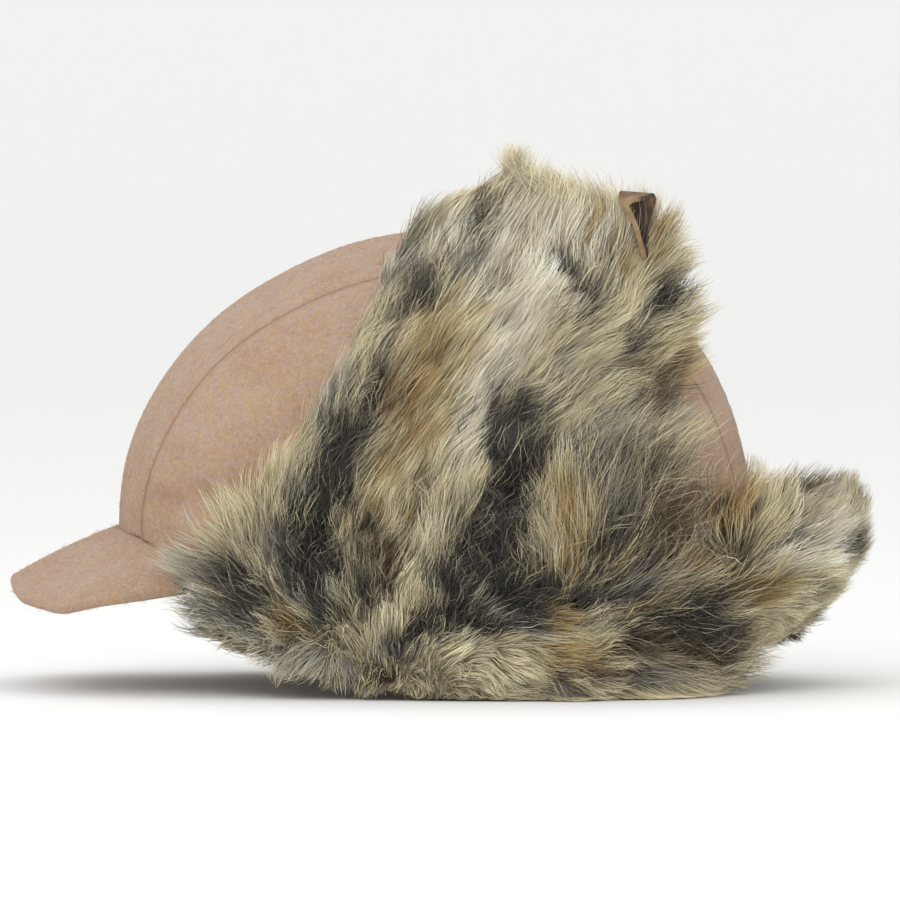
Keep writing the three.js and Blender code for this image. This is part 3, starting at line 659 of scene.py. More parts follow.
# %% Roots scattered evenly over a surface
def scatter(surface, a_range, b_range, count, rng, density=None):
    cells = 90
    a = np.linspace(*a_range, cells + 1)
    b = np.linspace(*b_range, cells + 1)
    corner = surface(*(g.ravel() for g in np.meshgrid(a, b, indexing="ij"))).reshape(cells + 1, cells + 1, 3)
    across, up = corner[1:, :-1] - corner[:-1, :-1], corner[:-1, 1:] - corner[:-1, :-1]
    area = np.linalg.norm(np.cross(across, up), axis=-1)
    if density is not None:
        area = area * density(corner[:-1, :-1])
    chosen = rng.choice(area.size, size=count, p=area.ravel() / area.sum())
    row, column = np.unravel_index(chosen, area.shape)
    roots_a = a[row] + rng.random(count) * (a[1] - a[0])
    roots_b = b[column] + rng.random(count) * (b[1] - b[0])
    return roots_a, roots_b


# %% [markdown]
# The nap is combed: a list of marks gives the turn of the hair, in degrees from straight up towards the back
# of the hat, at places seen from the side. Between the marks the turn is blended.
# The dark and light patches are painted the same way, as a list of soft ovals laid over each other
# in order, each with a colour of the palette.

# %% Blending between marks
def blend_turn(x, z, marks):
    marks = np.array(marks, dtype=float)
    near = (x[:, None] - marks[:, 0]) ** 2 + (z[:, None] - marks[:, 1]) ** 2
    weight = 1 / (near + 12) ** 2
    turn = np.radians(marks[:, 2])
    return np.arctan2(weight @ np.sin(turn), weight @ np.cos(turn))


# tip and root of each kind of hair; the darker roots are partly the fur's own colour and partly painted shade
# deep in the coat
PALETTE = {
    "ivory": ("#f0e9d4", "#aca288"),
    "cream": ("#e9dfbe", "#948866"),
    "khaki": ("#d6cba8", "#6f6549"),
    "gold": ("#c0a672", "#5c4a30"),
    "rust": ("#9a7a50", "#3f3122"),
    "grey": ("#b9b4a4", "#565247"),
    "smoke": ("#77736a", "#2c2a27"),
    "charcoal": ("#4a4641", "#1a1817"),
    "bark": ("#61513c", "#261f18"),
    "black": ("#2b2723", "#100e0c"),
}
PATCH_BLEND = 0.22  # how softly a patch's edge mixes, in shares of chance
TIPS = {name: linear(pair[0]) for name, pair in PALETTE.items()}
ROOTS = {name: linear(pair[1]) for name, pair in PALETTE.items()}


def paint(x, z, base, patches, chance):
    """Tip and root colours at x, z. A patch takes the hairs whose chance is under its share there."""
    tip = np.tile(TIPS[base], (len(x), 1))
    root = np.tile(ROOTS[base], (len(x), 1))
    for cx, cz, reach_x, reach_z, turn, name, share in patches:
        angle = math.radians(turn)
        dx, dz = x - cx, z - cz
        p = (dx * math.cos(angle) + dz * math.sin(angle)) / reach_x
        q = (-dx * math.sin(angle) + dz * math.cos(angle)) / reach_z
        cover = share * np.exp(-0.6 * (p * p + q * q) ** 1.5)
        cover = np.clip(0.5 + (cover - chance) / PATCH_BLEND, 0, 1) * (cover > 0.03)
        tip = tip + (TIPS[name] - tip) * cover[:, None]
        root = root + (ROOTS[name] - root) * cover[:, None]
    return tip, root


# %% [markdown]
# Growing comes next. A hair leaves the skin steeply and lies over towards its tip. Guides stand a few
# millimetres apart, and each hair leans towards its nearest guide, which makes pointed locks. Waves
# that are shared by neighbours keep the locks from looking combed by a machine, and a curl of the
# hair's own loosens the dark woolly parts.

# %% Bent hair
def bend_hair(root, way, out, length, lift, points, rng, messy):
    """Points of each hair, shape (hairs, points, 3), in millimetres."""
    share = np.linspace(0, 1, points)
    steep = lift[:, None] * (1 - share) ** 1.3 + 0.08
    steep = steep + rng.normal(0, 0.10, (len(root), 1)) * (1 - 0.3 * share)
    run = way[:, None] * np.cos(steep)[..., None] + out[:, None] * np.sin(steep)[..., None]
    steps = 0.5 * (run[:, 1:] + run[:, :-1]) * (length / (points - 1))[:, None, None]
    path = np.concatenate([root[:, None], root[:, None] + np.cumsum(steps, axis=1)], axis=1)
    side = np.cross(way, out)
    phase = rng.uniform(0, 6.28, (len(root), 1))
    wave = np.sin(phase + share * rng.uniform(2.5, 6.0, (len(root), 1))) - np.sin(phase)
    size = messy[:, None] * length[:, None] * share
    path = path + side[:, None] * (wave * size)[..., None]
    lift_wave = np.cos(phase * 1.7 + share * 4) - np.cos(phase * 1.7)
    return path + out[:, None] * (0.4 * lift_wave * size)[..., None]


def shared_waves(path, amount, size, seed):
    """Neighbouring hairs drift together, more towards their tips."""
    share = np.linspace(0, 1, path.shape[1])[None, :, None]
    root = path[:, 0]
    drift = np.stack([uneven(root, size, seed + i) for i in range(3)], axis=-1)
    return path + drift[:, None] * share ** 1.2 * amount[:, None, None]


def gather(path, guide_path, nearest, strength, power=1.3, reach=1.0):
    """Draws each hair to its nearest guide, more towards the tip. It follows the guide's share reach."""
    share = np.linspace(0, 1, path.shape[1])
    at = share * reach * (guide_path.shape[1] - 1)
    low = np.minimum(at.astype(int), guide_path.shape[1] - 2)
    along_guide = guide_path[:, low] + (guide_path[:, low + 1] - guide_path[:, low]) * (at - low)[:, None]
    pull = strength[:, None, None] * share[None, :, None] ** power
    return path + (along_guide[nearest] - path) * pull


# %% [markdown]
# Hair can't pass through the crown or the table, so points that would are moved out: off the dome
# along the line from its middle, and up from the table. The topmost hair is pressed down a little.

# %% Keeping clear
TOP_LEVEL, TOP_SQUEEZE = 192, 0.4  # hair above this level is pressed down to this share


def keep_clear(path, rng, clearance=0.9):
    middle = np.array([WIDEST_X, 0, WIDEST_LEVEL])
    level = crown_level(path)
    grown = (1 + clearance / CROWN_HALF_WIDTH) ** ROUNDNESS
    inside = (level < grown) & (path[..., 2] > rim_height(path[..., 0]) - 1)
    push = np.where(inside, (grown / np.maximum(0.3, level)) ** (1 / ROUNDNESS), 1)
    offset = (path - middle) * np.stack([push, push, np.where(path[..., 2] > WIDEST_LEVEL, push, 1)], axis=-1)
    path = middle + offset
    floor = rng.uniform(0.3, 1.6, path.shape[:2])
    path[..., 2] = np.where(path[..., 2] < floor, floor, path[..., 2])
    pressed_or_painted_shade = TOP_LEVEL + TOP_SQUEEZE * (path[..., 2] - TOP_LEVEL)
    path[..., 2] = np.where(path[..., 2] > TOP_LEVEL, pressed_or_painted_shade, path[..., 2])
    return path


# %% [markdown]
# Last, the points become ribbons. Each is widest near its root and ends in one point, and it faces outwards
# with a small turn of its own, so the light breaks up along a lock. Every hair gets its own small square of
# the map named OFBake, so a bake of its colours doesn't mix them.

# %% Hair ribbons
def ribbons(name, path, out, width, tip, root, rng, material, twist=0.7, shade=None):
    count, points, _ = path.shape
    run = unit(np.gradient(path, axis=1))
    side = unit(np.cross(run, out[:, None]))
    face = np.cross(side, run)
    turn = rng.normal(0, twist, (count, 1, 1))
    side = side * np.cos(turn) + face * np.sin(turn)
    share = np.linspace(0, 1, points)
    half = (width[:, None] * (1 - share ** 2.2) ** 0.8 / 2)[..., None]
    left, right = path - side * half, path + side * half
    verts = np.concatenate([left[:, :-1], right[:, :-1], path[:, -1:]], axis=1)
    spans = points - 1
    rung = np.arange(spans - 1)
    lower = np.stack([rung, spans + rung, spans + rung + 1], axis=-1)
    upper = np.stack([rung, spans + rung + 1, rung + 1], axis=-1)
    one = np.concatenate([lower, upper, [[spans - 1, 2 * spans - 1, 2 * spans]]])
    per_hair = 2 * spans + 1
    faces = (one[None] + np.arange(count)[:, None, None] * per_hair).reshape(-1, 3)

    mesh = bpy.data.meshes.new(name)
    mesh.vertices.add(count * per_hair)
    mesh.vertices.foreach_set("co", to_frame(verts.reshape(-1, 3)).ravel())
    mesh.loops.add(faces.size)
    mesh.loops.foreach_set("vertex_index", faces.ravel().astype(np.int32))
    mesh.polygons.add(len(faces))
    mesh.polygons.foreach_set("loop_start", np.arange(0, faces.size, 3, dtype=np.int32))
    mesh.update(calc_edges=True)

    blend = np.clip(share * 1.2, 0, 1) ** 1.25
    colour = root[:, None] + (tip - root)[:, None] * blend[:, None]
    if shade is not None:
        colour = colour * shade[:, None, None]
    per_point = np.concatenate([colour[:, :-1], colour[:, :-1], colour[:, -1:]], axis=1).reshape(-1, 3)
    per_point = np.concatenate([np.clip(per_point, 0.004, 0.95), np.ones((len(per_point), 1))], axis=1)
    tint = mesh.color_attributes.new("hair_colour", "FLOAT_COLOR", "POINT")
    tint.data.foreach_set("color", per_point.ravel())

    grid = math.ceil(math.sqrt(count))
    cell = np.stack([np.arange(count) % grid, np.arange(count) // grid], axis=-1) / grid
    level = 0.12 + 0.76 * share
    spot = np.concatenate([
        np.stack([np.full(spans, 0.3), level[:-1]], axis=-1),
        np.stack([np.full(spans, 0.7), level[:-1]], axis=-1),
        [[0.5, level[-1]]],
    ])
    corners = (cell[:, None] + spot[None] / grid).reshape(-1, 2)
    mesh.uv_layers.new(name="OFBake").data.foreach_set("uv", corners[faces.ravel()].ravel())
    piece = add_object(name, mesh, material)
    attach(piece, "root")
    print(name, count, "hairs", len(faces), "triangles")
    return piece


# %% [markdown]
# ## Near ear flap: how the hair lies and its colours
# Places are in millimetres, along the hat and above the table, in the drawing's axes. The hair
# stands almost upright along the front edge, leans back over most of the flap, sweeps level towards
# the back edge and turns down at the fold.

# %% Marks and patches of the near flap
FLAP_TURNS = [
    (-52.5, 77.1, -14), (-68.2, 54.3, -30), (-35.0, 105.1, 8), (-21.0, 140.1, 14), (-8.8, 162.8, 14),
    (8.8, 175.1, 16), (29.7, 183.8, 10), (52.5, 180.3, 22), (68.2, 175.1, 34), (0.0, 140.1, 27),
    (17.5, 154.1, 28), (38.5, 161.1, 28), (17.5, 122.6, 20), (-3.5, 115.6, 22), (-14.0, 94.6, 17),
    (-31.5, 80.6, 10), (-42.0, 63.1, 2), (40.2, 140.1, -14), (52.5, 129.6, 12), (59.5, 148.8, 12),
    (71.8, 143.6, 42), (78.8, 154.1, 42), (84.0, 129.6, 62), (66.5, 122.6, 72), (52.5, 114.9, 66),
    (42.0, 119.1, 45), (73.5, 105.1, 66), (59.5, 96.3, 58), (52.5, 87.6, 48), (71.8, 87.6, 46),
    (77.0, 77.1, 52), (10.5, 105.1, 14), (4.2, 77.1, 12), (-7.0, 56.1, 16), (-18.2, 33.3, 12),
    (-28.0, 49.1, 6), (24.5, 94.6, 40), (21.0, 73.6, 8), (14.0, 45.6, 2), (38.5, 63.1, 8), (35.0, 42.1, 8),
    (52.5, 49.1, 26), (66.5, 50.8, 44), (70.0, 70.1, 52), (80.5, 63.1, 60), (84.0, 49.1, 62),
    (87.5, 31.6, 84), (-52.5, 35.1, -36), (-78.8, 43.8, -78), (-87.5, 45.6, -82), (-85.8, 35.1, -84),
    (-66.5, 31.6, -60), (-42.0, 28.1, -24), (-82.2, 33.3, -88), (0.0, 26.4, 40), (24.5, 26.4, 82),
    (52.5, 26.4, 66), (70.0, 24.6, 84), (-17.5, 17.6, 8), (-52.5, 21.1, -50), (52.5, 14.1, 92),
    (17.5, 12.3, 110), (38.5, 5.3, 122), (59.5, 6.4, 116), (80.5, 12.3, 100), (94.5, 17.6, 96),
]
# hair length, as a share of the usual, at places on the flap
FLAP_LENGTHS = [
    (-7.0, 166.3, 0.8), (7.0, 173.3, 1.15), (24.5, 180.3, 1.3), (35.0, 180.3, 1.0), (49.0, 176.8, 0.8),
    (66.5, 169.8, 0.65), (66.5, 153.4, 1.1), (74.2, 157.6, 0.8), (82.2, 159.3, 0.4), (87.5, 143.6, 0.75),
    (84.0, 122.6, 0.9), (71.8, 94.6, 0.95), (66.5, 70.1, 1.7), (75.2, 73.6, 2.0), (78.8, 59.6, 2.0),
    (70.0, 52.6, 1.6), (73.5, 35.1, 1.3), (0.0, 122.6, 1.05), (-35.0, 87.6, 0.9), (-59.5, 45.6, 0.8),
    (-82.2, 38.6, 1.1), (-87.5, 43.8, 1.35), (-85.8, 33.3, 0.9), (-82.2, 22.8, 0.6), (-17.5, 49.1, 0.9),
    (17.5, 63.1, 0.8), (38.5, 21.1, 0.7), (-52.5, 21.1, 0.8), (38.5, 129.6, 1.0), (-7.0, 21.1, 0.6),
    (-31.5, 9.9, 0.5), (-17.5, 7.1, 0.3), (0.0, 5.3, 0.35), (17.5, 157.6, 1.05),
]

FLAP_PATCHES = [
    # light ground
    (38.5, 164.6, 31.8, 21.2, 0, "ivory", 1.17), (31.5, 175.8, 23.3, 9.54, 0, "cream", 1.00),
    (22.8, 129.6, 8.48, 25.4, -22, "ivory", 1.10), (10.5, 105.1, 8.48, 18, -15, "ivory", 1.17),
    (49.7, 138.3, 13.8, 13.8, 0, "cream", 0.75), (66.5, 151.3, 12.7, 9.54, 0, "cream", 0.88),
    (59.5, 96.3, 20.1, 14.8, 0, "cream", 0.56), (-3.5, 152.3, 14.8, 15.9, -25, "grey", 0.50),
    (-42.0, 87.6, 9.54, 31.8, -14, "grey", 0.66), (-17.5, 33.3, 7.42, 15.9, -15, "cream", 0.94),
    (-7.0, 54.3, 7.42, 15.9, -15, "cream", 1.12), (1.4, 75.3, 7.42, 15.9, -15, "cream", 1.12),
    (4.2, 91.1, 5.3, 13.8, -15, "ivory", 0.78), (87.5, 129.6, 8.48, 10.6, -30, "grey", 0.44),
    (24.5, 180.3, 14.8, 4.24, 10, "grey", 0.55), (4.2, 159.3, 12, 14, -28, "ivory", 0.9),
    (-3.5, 129.6, 10, 18, -24, "cream", 0.8), (24.5, 147.1, 18, 18, -20, "ivory", 1.1),
    (-17.5, 154.1, 9, 14, -28, "grey", 0.9), (38.5, 105.1, 10, 9, -40, "cream", 0.7),
    # streaks in the light upper part
    (9.8, 163.9, 2.48, 12.7, -28, "charcoal", 0.82), (18.5, 172.3, 1.91, 6.36, -30, "charcoal", 0.57),
    (7.7, 148.8, 2.48, 9.54, -28, "smoke", 0.68), (-7.7, 140.8, 3.24, 11.7, -26, "charcoal", 0.98),
    (-16.1, 138.3, 2.48, 10.6, -18, "charcoal", 0.92), (-21.7, 124.3, 3.24, 12.7, -16, "smoke", 0.81),
    (0.0, 138.3, 1.91, 9.54, -26, "smoke", 0.54), (14.7, 141.8, 1.72, 10.6, -32, "bark", 0.57),
    (40.9, 142.9, 2.86, 11.7, 14, "charcoal", 0.98), (46.5, 133.8, 3.44, 8.48, -8, "charcoal", 0.98),
    (49.7, 144.3, 1.91, 9.54, -14, "smoke", 0.63), (53.5, 154.1, 1.91, 8.48, -26, "smoke", 0.45),
    (58.8, 148.8, 1.91, 10.6, 8, "gold", 0.77), (52.5, 167.4, 2.86, 9.54, -25, "gold", 0.36),
    (27.3, 161.1, 2.29, 7.42, -30, "gold", 0.45), (9.1, 173.0, 3.24, 7.42, -28, "gold", 0.45),
    (70.7, 161.1, 6, 7, 0, "gold", 1.0), (74.9, 166.0, 4.29, 6.36, 0, "gold", 0.77),
    (72.1, 153.4, 5.72, 4.24, -40, "gold", 0.41), (74.5, 138.7, 4, 10.6, -45, "charcoal", 1.02),
    (66.5, 129.6, 2.48, 5.3, -40, "charcoal", 0.92), (65.1, 122.6, 1.72, 7.42, -66, "charcoal", 0.82),
    (84.7, 135.9, 2.29, 8.48, -60, "smoke", 0.45), (52.5, 121.9, 1.72, 12.7, -80, "smoke", 0.72),
    (46.9, 112.8, 2.67, 10.6, -80, "smoke", 0.77), (42.0, 106.8, 3.24, 8.48, -60, "smoke", 0.63),
    (33.6, 124.0, 2.29, 5.3, -30, "bark", 0.57), (43.8, 117.3, 2.29, 12.7, -78, "grey", 0.54),
    (76.3, 120.5, 4.29, 9.54, -60, "gold", 0.54), (66.5, 112.1, 3.44, 9.54, -60, "gold", 0.45),
    (73.5, 104.4, 8, 12, -60, "bark", 1.25), (84.7, 114.9, 3.24, 8.48, -60, "gold", 0.54),
    (66.5, 102.3, 3.24, 9.54, -56, "bark", 0.47), (38.5, 183.5, 9.54, 1.91, 6, "bark", 0.66),
    # gold and rust through the middle front
    (-8.8, 117.3, 11.7, 15.9, -22, "gold", 0.77), (-16.1, 101.6, 8.48, 13.8, -18, "rust", 0.66),
    (-8.4, 94.6, 7.42, 13.8, -18, "gold", 0.61), (-18.2, 86.9, 5.3, 12.7, -18, "rust", 0.66),
    (-21.7, 75.3, 6.36, 11.7, -20, "gold", 0.77), (-14.0, 69.4, 7.42, 8.48, 0, "gold", 0.55),
    (-8.4, 71.8, 2.33, 8.48, -15, "bark", 0.92), (-3.1, 105.1, 4.24, 13.8, -20, "gold", 0.55),
    (-26.2, 65.9, 4.77, 7.42, -20, "gold", 0.77), (-34.3, 59.6, 4.77, 7.42, 0, "gold", 0.61),
    # dark front edge and corner
    (-25.2, 105.8, 3.18, 12.7, -16, "charcoal", 1.12), (-28.7, 93.9, 2.76, 10.6, -15, "charcoal", 1.00),
    (-36.4, 89.3, 5.83, 12.7, -12, "charcoal", 1.19), (-40.6, 79.9, 5.83, 9.54, -10, "charcoal", 1.19),
    (-36.8, 68.3, 4.77, 5.3, 0, "black", 1.23), (-46.9, 59.6, 6.36, 9.54, -5, "black", 1.23),
    (-52.8, 60.3, 5.3, 8.48, 0, "charcoal", 1.00), (-57.7, 55.4, 7.42, 7.42, 0, "smoke", 0.88),
    (-27.3, 56.1, 3.82, 8.48, 0, "charcoal", 1.00), (-22.4, 48.4, 3.82, 10.6, -10, "bark", 0.92),
    (-31.5, 42.1, 4.77, 9.54, 0, "charcoal", 0.88), (-43.4, 49.1, 8, 8, 0, "charcoal", 1.35),
    (-74.2, 44.2, 8.5, 6.5, 0, "charcoal", 1.25), (-69.3, 37.9, 9, 6.5, 0, "charcoal", 1.25),
    (-88.9, 42.1, 6, 13, 10, "grey", 1.3), (-84.0, 30.9, 9, 6, -30, "grey", 1.1),
    (-56.0, 38.6, 10.6, 7.42, 0, "charcoal", 1.00), (-52.5, 48.4, 4.24, 8.48, -75, "charcoal", 1.12),
    (-63.7, 43.8, 2.54, 9.54, 57, "khaki", 0.94), (-68.2, 32.3, 7.42, 3.82, 0, "charcoal", 1.06),
    (-45.5, 34.4, 6.36, 7.42, 0, "charcoal", 1.12), (-56.0, 28.1, 3.18, 7.42, 62, "gold", 0.88),
    (-41.6, 42.4, 2.76, 5.3, 0, "grey", 0.66), (-51.1, 35.8, 2.54, 5.3, 40, "grey", 0.66),
    (-37.8, 27.4, 3.82, 6.36, 0, "bark", 0.69), (-35.0, 34.4, 2.76, 6.36, 0, "khaki", 0.66),
    (-75.2, 27.4, 12.7, 3.6, -22, "smoke", 0.8), (-73.5, 22.5, 12.7, 3.6, -24, "grey", 0.88),
    (-57.7, 15.8, 14.8, 4.88, -14, "grey", 0.94), (-36.8, 11.3, 8, 5, 0, "grey", 1.0),
    # low at the front of the fold the bark and smoke are partly dark hair and partly painted shade under the
    # fold
    (-25.9, 17.6, 6, 6, 0, "khaki", 0.6), (-22.8, 9.9, 7, 4, 0, "bark", 0.9),
    (-16.1, 20.4, 7, 5, 0, "smoke", 1.0), (-8.8, 11.3, 7, 4, 0, "bark", 0.5),
    (-9.8, 28.1, 5.83, 5.3, 0, "charcoal", 1.00),
    # charcoal through the middle
    (22.8, 95.3, 10.6, 9.54, 0, "charcoal", 1.25), (17.5, 90.4, 5.3, 9.54, 0, "charcoal", 1.19),
    (29.7, 86.9, 6.36, 8.48, 0, "charcoal", 1.12), (23.8, 78.8, 7.42, 6.36, 0, "black", 1.23),
    (19.2, 66.6, 9.54, 8.48, 0, "charcoal", 1.25), (24.5, 58.9, 6.36, 8.48, 0, "charcoal", 1.06),
    (12.2, 51.9, 11.7, 12.7, 0, "charcoal", 1.25), (10.5, 38.6, 13.8, 10.6, 0, "charcoal", 1.25),
    (5.2, 28.1, 14.8, 5.83, 0, "charcoal", 1.19), (25.2, 36.5, 12.7, 9.54, 0, "charcoal", 1.25),
    (33.6, 42.1, 6.36, 7.42, 0, "charcoal", 1.12), (25.2, 28.1, 12.7, 5.3, 0, "charcoal", 1.12),
    (49.0, 54.0, 3.82, 6.36, 0, "black", 1.23), (53.2, 35.8, 15, 7, 0, "charcoal", 1.40),
    (56.7, 49.1, 6, 5, 0, "charcoal", 1.0), (61.6, 41.4, 9.54, 4.24, 0, "smoke", 0.88),
    (22.8, 28.8, 1.7, 14.8, 56, "grey", 0.66), (14.7, 35.1, 1.48, 8.48, 60, "grey", 0.55),
    (39.2, 70.1, 6.36, 9.54, -10, "gold", 0.94), (37.8, 56.1, 7.42, 9.54, -10, "gold", 0.88),
    (33.2, 55.4, 3.82, 8.48, 0, "cream", 0.75), (44.1, 86.9, 5.83, 10.6, -20, "cream", 0.62),
    (52.5, 83.4, 4.2, 9, -50, "smoke", 1.1), (59.5, 73.6, 4.4, 9, -45, "smoke", 1.1),
    (66.5, 82.0, 3.2, 8, -50, "charcoal", 0.9), (57.4, 61.7, 5.5, 8, -40, "charcoal", 1.0),
    (48.3, 95.3, 2.6, 9, -55, "smoke", 0.9), (66.5, 54.3, 6, 5, -40, "smoke", 1.0),
    (54.2, 91.1, 2.76, 9.54, -50, "grey", 0.66), (66.5, 90.4, 3.6, 9.54, -50, "grey", 0.66),
    # back edge
    (79.8, 72.9, 9, 9, -45, "bark", 1.3), (74.2, 63.8, 9, 10, -45, "bark", 1.3),
    (65.8, 58.9, 4.24, 6.36, -45, "bark", 0.92), (58.1, 51.9, 5.83, 4.77, 0, "gold", 0.66),
    (66.5, 44.2, 8.48, 3.82, 0, "grey", 0.66), (81.2, 47.0, 6.36, 4.77, 0, "gold", 0.66),
    (84.0, 35.1, 7.42, 4.24, 0, "black", 1.30), (77.7, 27.4, 12, 3.5, 4, "black", 1.3),
    (66.5, 33.0, 8.48, 2.54, 0, "gold", 0.44), (70.0, 19.3, 14.8, 5.3, 0, "bark", 1.03),
    (86.4, 21.1, 9, 9, 0, "black", 1.45), (84.0, 15.2, 9.54, 5.3, 0, "bark", 0.92),
    # fringe at the fold
    (38.5, 25.3, 3.82, 6.36, 0, "gold", 0.88), (53.2, 28.1, 4.77, 7.42, 0, "cream", 0.75),
    (46.2, 25.3, 1.91, 5.3, 0, "black", 1.04), (42.0, 15.8, 14.8, 4.77, 0, "gold", 0.99),
    (31.5, 14.1, 8.48, 4.77, 0, "gold", 0.66), (52.5, 12.0, 6.36, 3.82, 0, "gold", 0.7),
    (49.0, 8.8, 12.7, 1.59, 0, "bark", 1.03), (14.0, 13.4, 14.8, 7.42, 0, "cream", 1.12),
    (0.0, 16.9, 10.6, 6.36, 0, "cream", 1.06), (46.2, 2.9, 8.48, 2.76, 0, "smoke", 0.77),
    (70.0, 8.5, 14.8, 3.82, 0, "smoke", 0.88), (81.2, 6.4, 8.48, 3.82, 0, "grey", 0.55),
]
print(len(FLAP_TURNS), "marks of the nap and", len(FLAP_PATCHES), "patches on the near flap")

# %% [markdown]
# One coat of fur is described by its surface, its marks and its patches. The same steps grow the guides
# and the hair. Every lock and every tuft in it has a number of its own, drawn at random, which decides
# its colour where patches meet and makes it a little lighter or darker. At the fold the hair hangs.

# %% Growing a coat
def blend_share(x, z, marks):
    marks = np.array(marks, dtype=float)
    weight = 1 / ((x[:, None] - marks[:, 0]) ** 2 + (z[:, None] - marks[:, 1]) ** 2 + 20) ** 1.5
    return (weight @ marks[:, 2]) / weight.sum(axis=1)


def nearest_of(tree_points, places):
    tree = KDTree(len(tree_points))
    for i, place in enumerate(tree_points):
        tree.insert(place, i)
    tree.balance()
    return np.array([tree.find(place)[1] for place in places])


def grow(coat, number, points, lengths, rng, guide=None, pull=0.8, reach=1.0):
    a, b = scatter(coat["surface"], *coat["ranges"], number, rng, coat.get("density"))
    point, across, up, out = coat["ways"](a, b)
    root = point + out * (PELT - ROOT_SINK)
    x, z = root[:, 0], root[:, 2]
    turn = blend_turn(x, z, coat["turns"]) + 0.2 * uneven(root, 13, 40) + 0.14 * uneven(root, 34, 43)
    turn = turn + rng.normal(0, 0.19, number)
    hang, hang_turn = coat["fringe"](a, b, root, rng)
    turn = np.where(hang, hang_turn, turn) * coat["swing"](a)
    way = unit(up * np.cos(turn)[:, None] + across * np.sin(turn)[:, None])
    length = rng.uniform(*lengths, number) * blend_share(x, z, coat["lengths"]) * np.where(hang, 0.68, 1)
    value = rng.normal(0, 1, (number, 2))
    if guide is not None:
        nearest = nearest_of(guide["path"][:, 0], root)
        value = guide["value"][nearest] * 0.85 + value * 0.5
    mid = root + way * (0.52 * length)[:, None]
    mixed = 0.85 * value[:, 0] + 0.5 * uneven(mid, 9, 50)
    chance = 1 / (1 + np.exp(-1.7 * mixed))
    tip, dark = paint(mid[:, 0], mid[:, 2], coat["base"], coat["patches"], chance)
    woolly = 1 - np.clip(tip.mean(axis=1) / 0.35, 0, 1)
    messy = 0.04 + 0.3 * woolly
    length = length * (1 - 0.3 * woolly)
    lift = coat["lift"] + 0.35 * woolly + 0.25 * hang + rng.normal(0, 0.14, number)
    path = bend_hair(root, way, out, length, lift, points, rng, messy)
    path = shared_waves(path, 2.0 + 2.0 * woolly, 17, 60)
    if guide is not None:
        strength = np.clip(pull - 0.35 * woolly + rng.normal(0, 0.12, number), 0, 0.95)
        path = gather(path, guide["path"], nearest, strength, reach=reach)
    return {"path": path, "out": out, "tip": tip, "dark": dark, "value": value}


def paint_pelt(pelt, coat):
    mesh = pelt.data
    places = mesh_points(mesh) / MM - SHIFT
    chance = np.full(len(places), 0.5)
    tip, dark = paint(places[:, 0], places[:, 2], coat["base"], coat["patches"], chance)
    colour = np.concatenate([0.35 * tip + 0.45 * dark, np.ones((len(places), 1))], axis=1)
    mesh.color_attributes.new("underfur", "FLOAT_COLOR", "POINT").data.foreach_set("color", colour.ravel())


def fur_coat(name, coat, count, seed, pelt, parts=1):
    thick = 1.0  # a factor on every hair's width
    rng = np.random.default_rng(seed)
    paint_pelt(pelt, coat)
    locks = grow(coat, coat["locks"], 5, coat["long"], rng)
    tufts = grow(coat, coat["locks"] * 8, 5, coat["long"], rng, locks, 0.45)
    kinds = (("guard", 0.36, 5, coat["long"], 0.68, 1.0), ("middle", 0.34, 4, coat["long"], 0.55, 0.8),
             ("under", 0.30, 3, coat["short"], 0.4, 0.45))
    pieces = []
    for part in range(parts):
        for kind, share, points, lengths, pull, reach in kinds:
            number = int(count * share) // parts
            size = np.array(lengths) * (0.82 if kind == "middle" else 1)
            hairs = grow(coat, number, points, size, rng, tufts, pull, reach)
            path, out = keep_clear(hairs["path"], rng), hairs["out"]
            if coat.get("mirrored"):
                path, out = mirror(path), mirror(out)
            shade = np.clip(1 + 0.18 * hairs["value"][:, 1] + rng.normal(0, 0.13, number), 0.5, 1.5)
            tip = hairs["tip"]
            pale = (rng.random(number) < 0.2) & (kind == "guard")
            tip = np.where(pale[:, None], tip * 0.4 + TIPS["khaki"] * 0.6, tip)
            # the underfur is darkened towards its roots' colour, partly its own colour and partly painted
            # shade deep in the coat
            if kind == "under":
                tip = tip * 0.45 + hairs["dark"] * 0.4
            width = rng.uniform(0.19, 0.32, number) * (1.3 if kind == "under" else 1) * thick
            label = f"{name}_{kind}_{part + 1}" if parts > 1 else f"{name}_{kind}"
            pieces.append(ribbons(label, path, out, width, tip, hairs["dark"], rng, fur, shade=shade))
    return pieces


# %% [markdown]
# ## Near ear flap
# The roots stay on the outer side of the strip, from just inside the fold to the tip. The lowest
# few millimetres hang down over the fold, to the front at the front corner and to the back at the
# back one, and the border between hanging and standing hair is ragged.

# %% Ear flap hair
def flap_fringe(along, path, root, rng):
    low = root[:, 2] - fold_height(root[:, 0])
    limit = np.interp(root[:, 0], [-86, -50, 0, 14, 95], [8, 8, 7, 3, 2])
    hang = low < limit + 4.0 * uneven(root, 15, 71) + rng.normal(0, 3.0, len(root))
    turn = np.interp(root[:, 0], [-86, -60, -30, 8, 20, 88], [-95, -140, -178, -186, -225, -250])
    return hang, np.radians(turn) + 0.4 * uneven(root, 19, 72) + rng.normal(0, 0.35, len(root))


def flap_coat(turns, lengths, patches, base, locks, **more):
    return dict(locks=locks, surface=flap_point, ways=flap_ways, ranges=((0, 1), (1.15, 3)), turns=turns,
                lengths=lengths, patches=patches, base=base, fringe=flap_fringe, swing=lambda a: 1,
                lift=0.5, long=(20, 29), short=(9, 15), **more)


NEAR_HAIRS, FAR_HAIRS, NECK_HAIRS = ((86000, 24000, 30000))
near = flap_coat(FLAP_TURNS, FLAP_LENGTHS, FLAP_PATCHES, "khaki", 560)
hair = {"left": fur_coat("ear_flap_fur_left", near, NEAR_HAIRS, 100, pelts["left"], 2)}

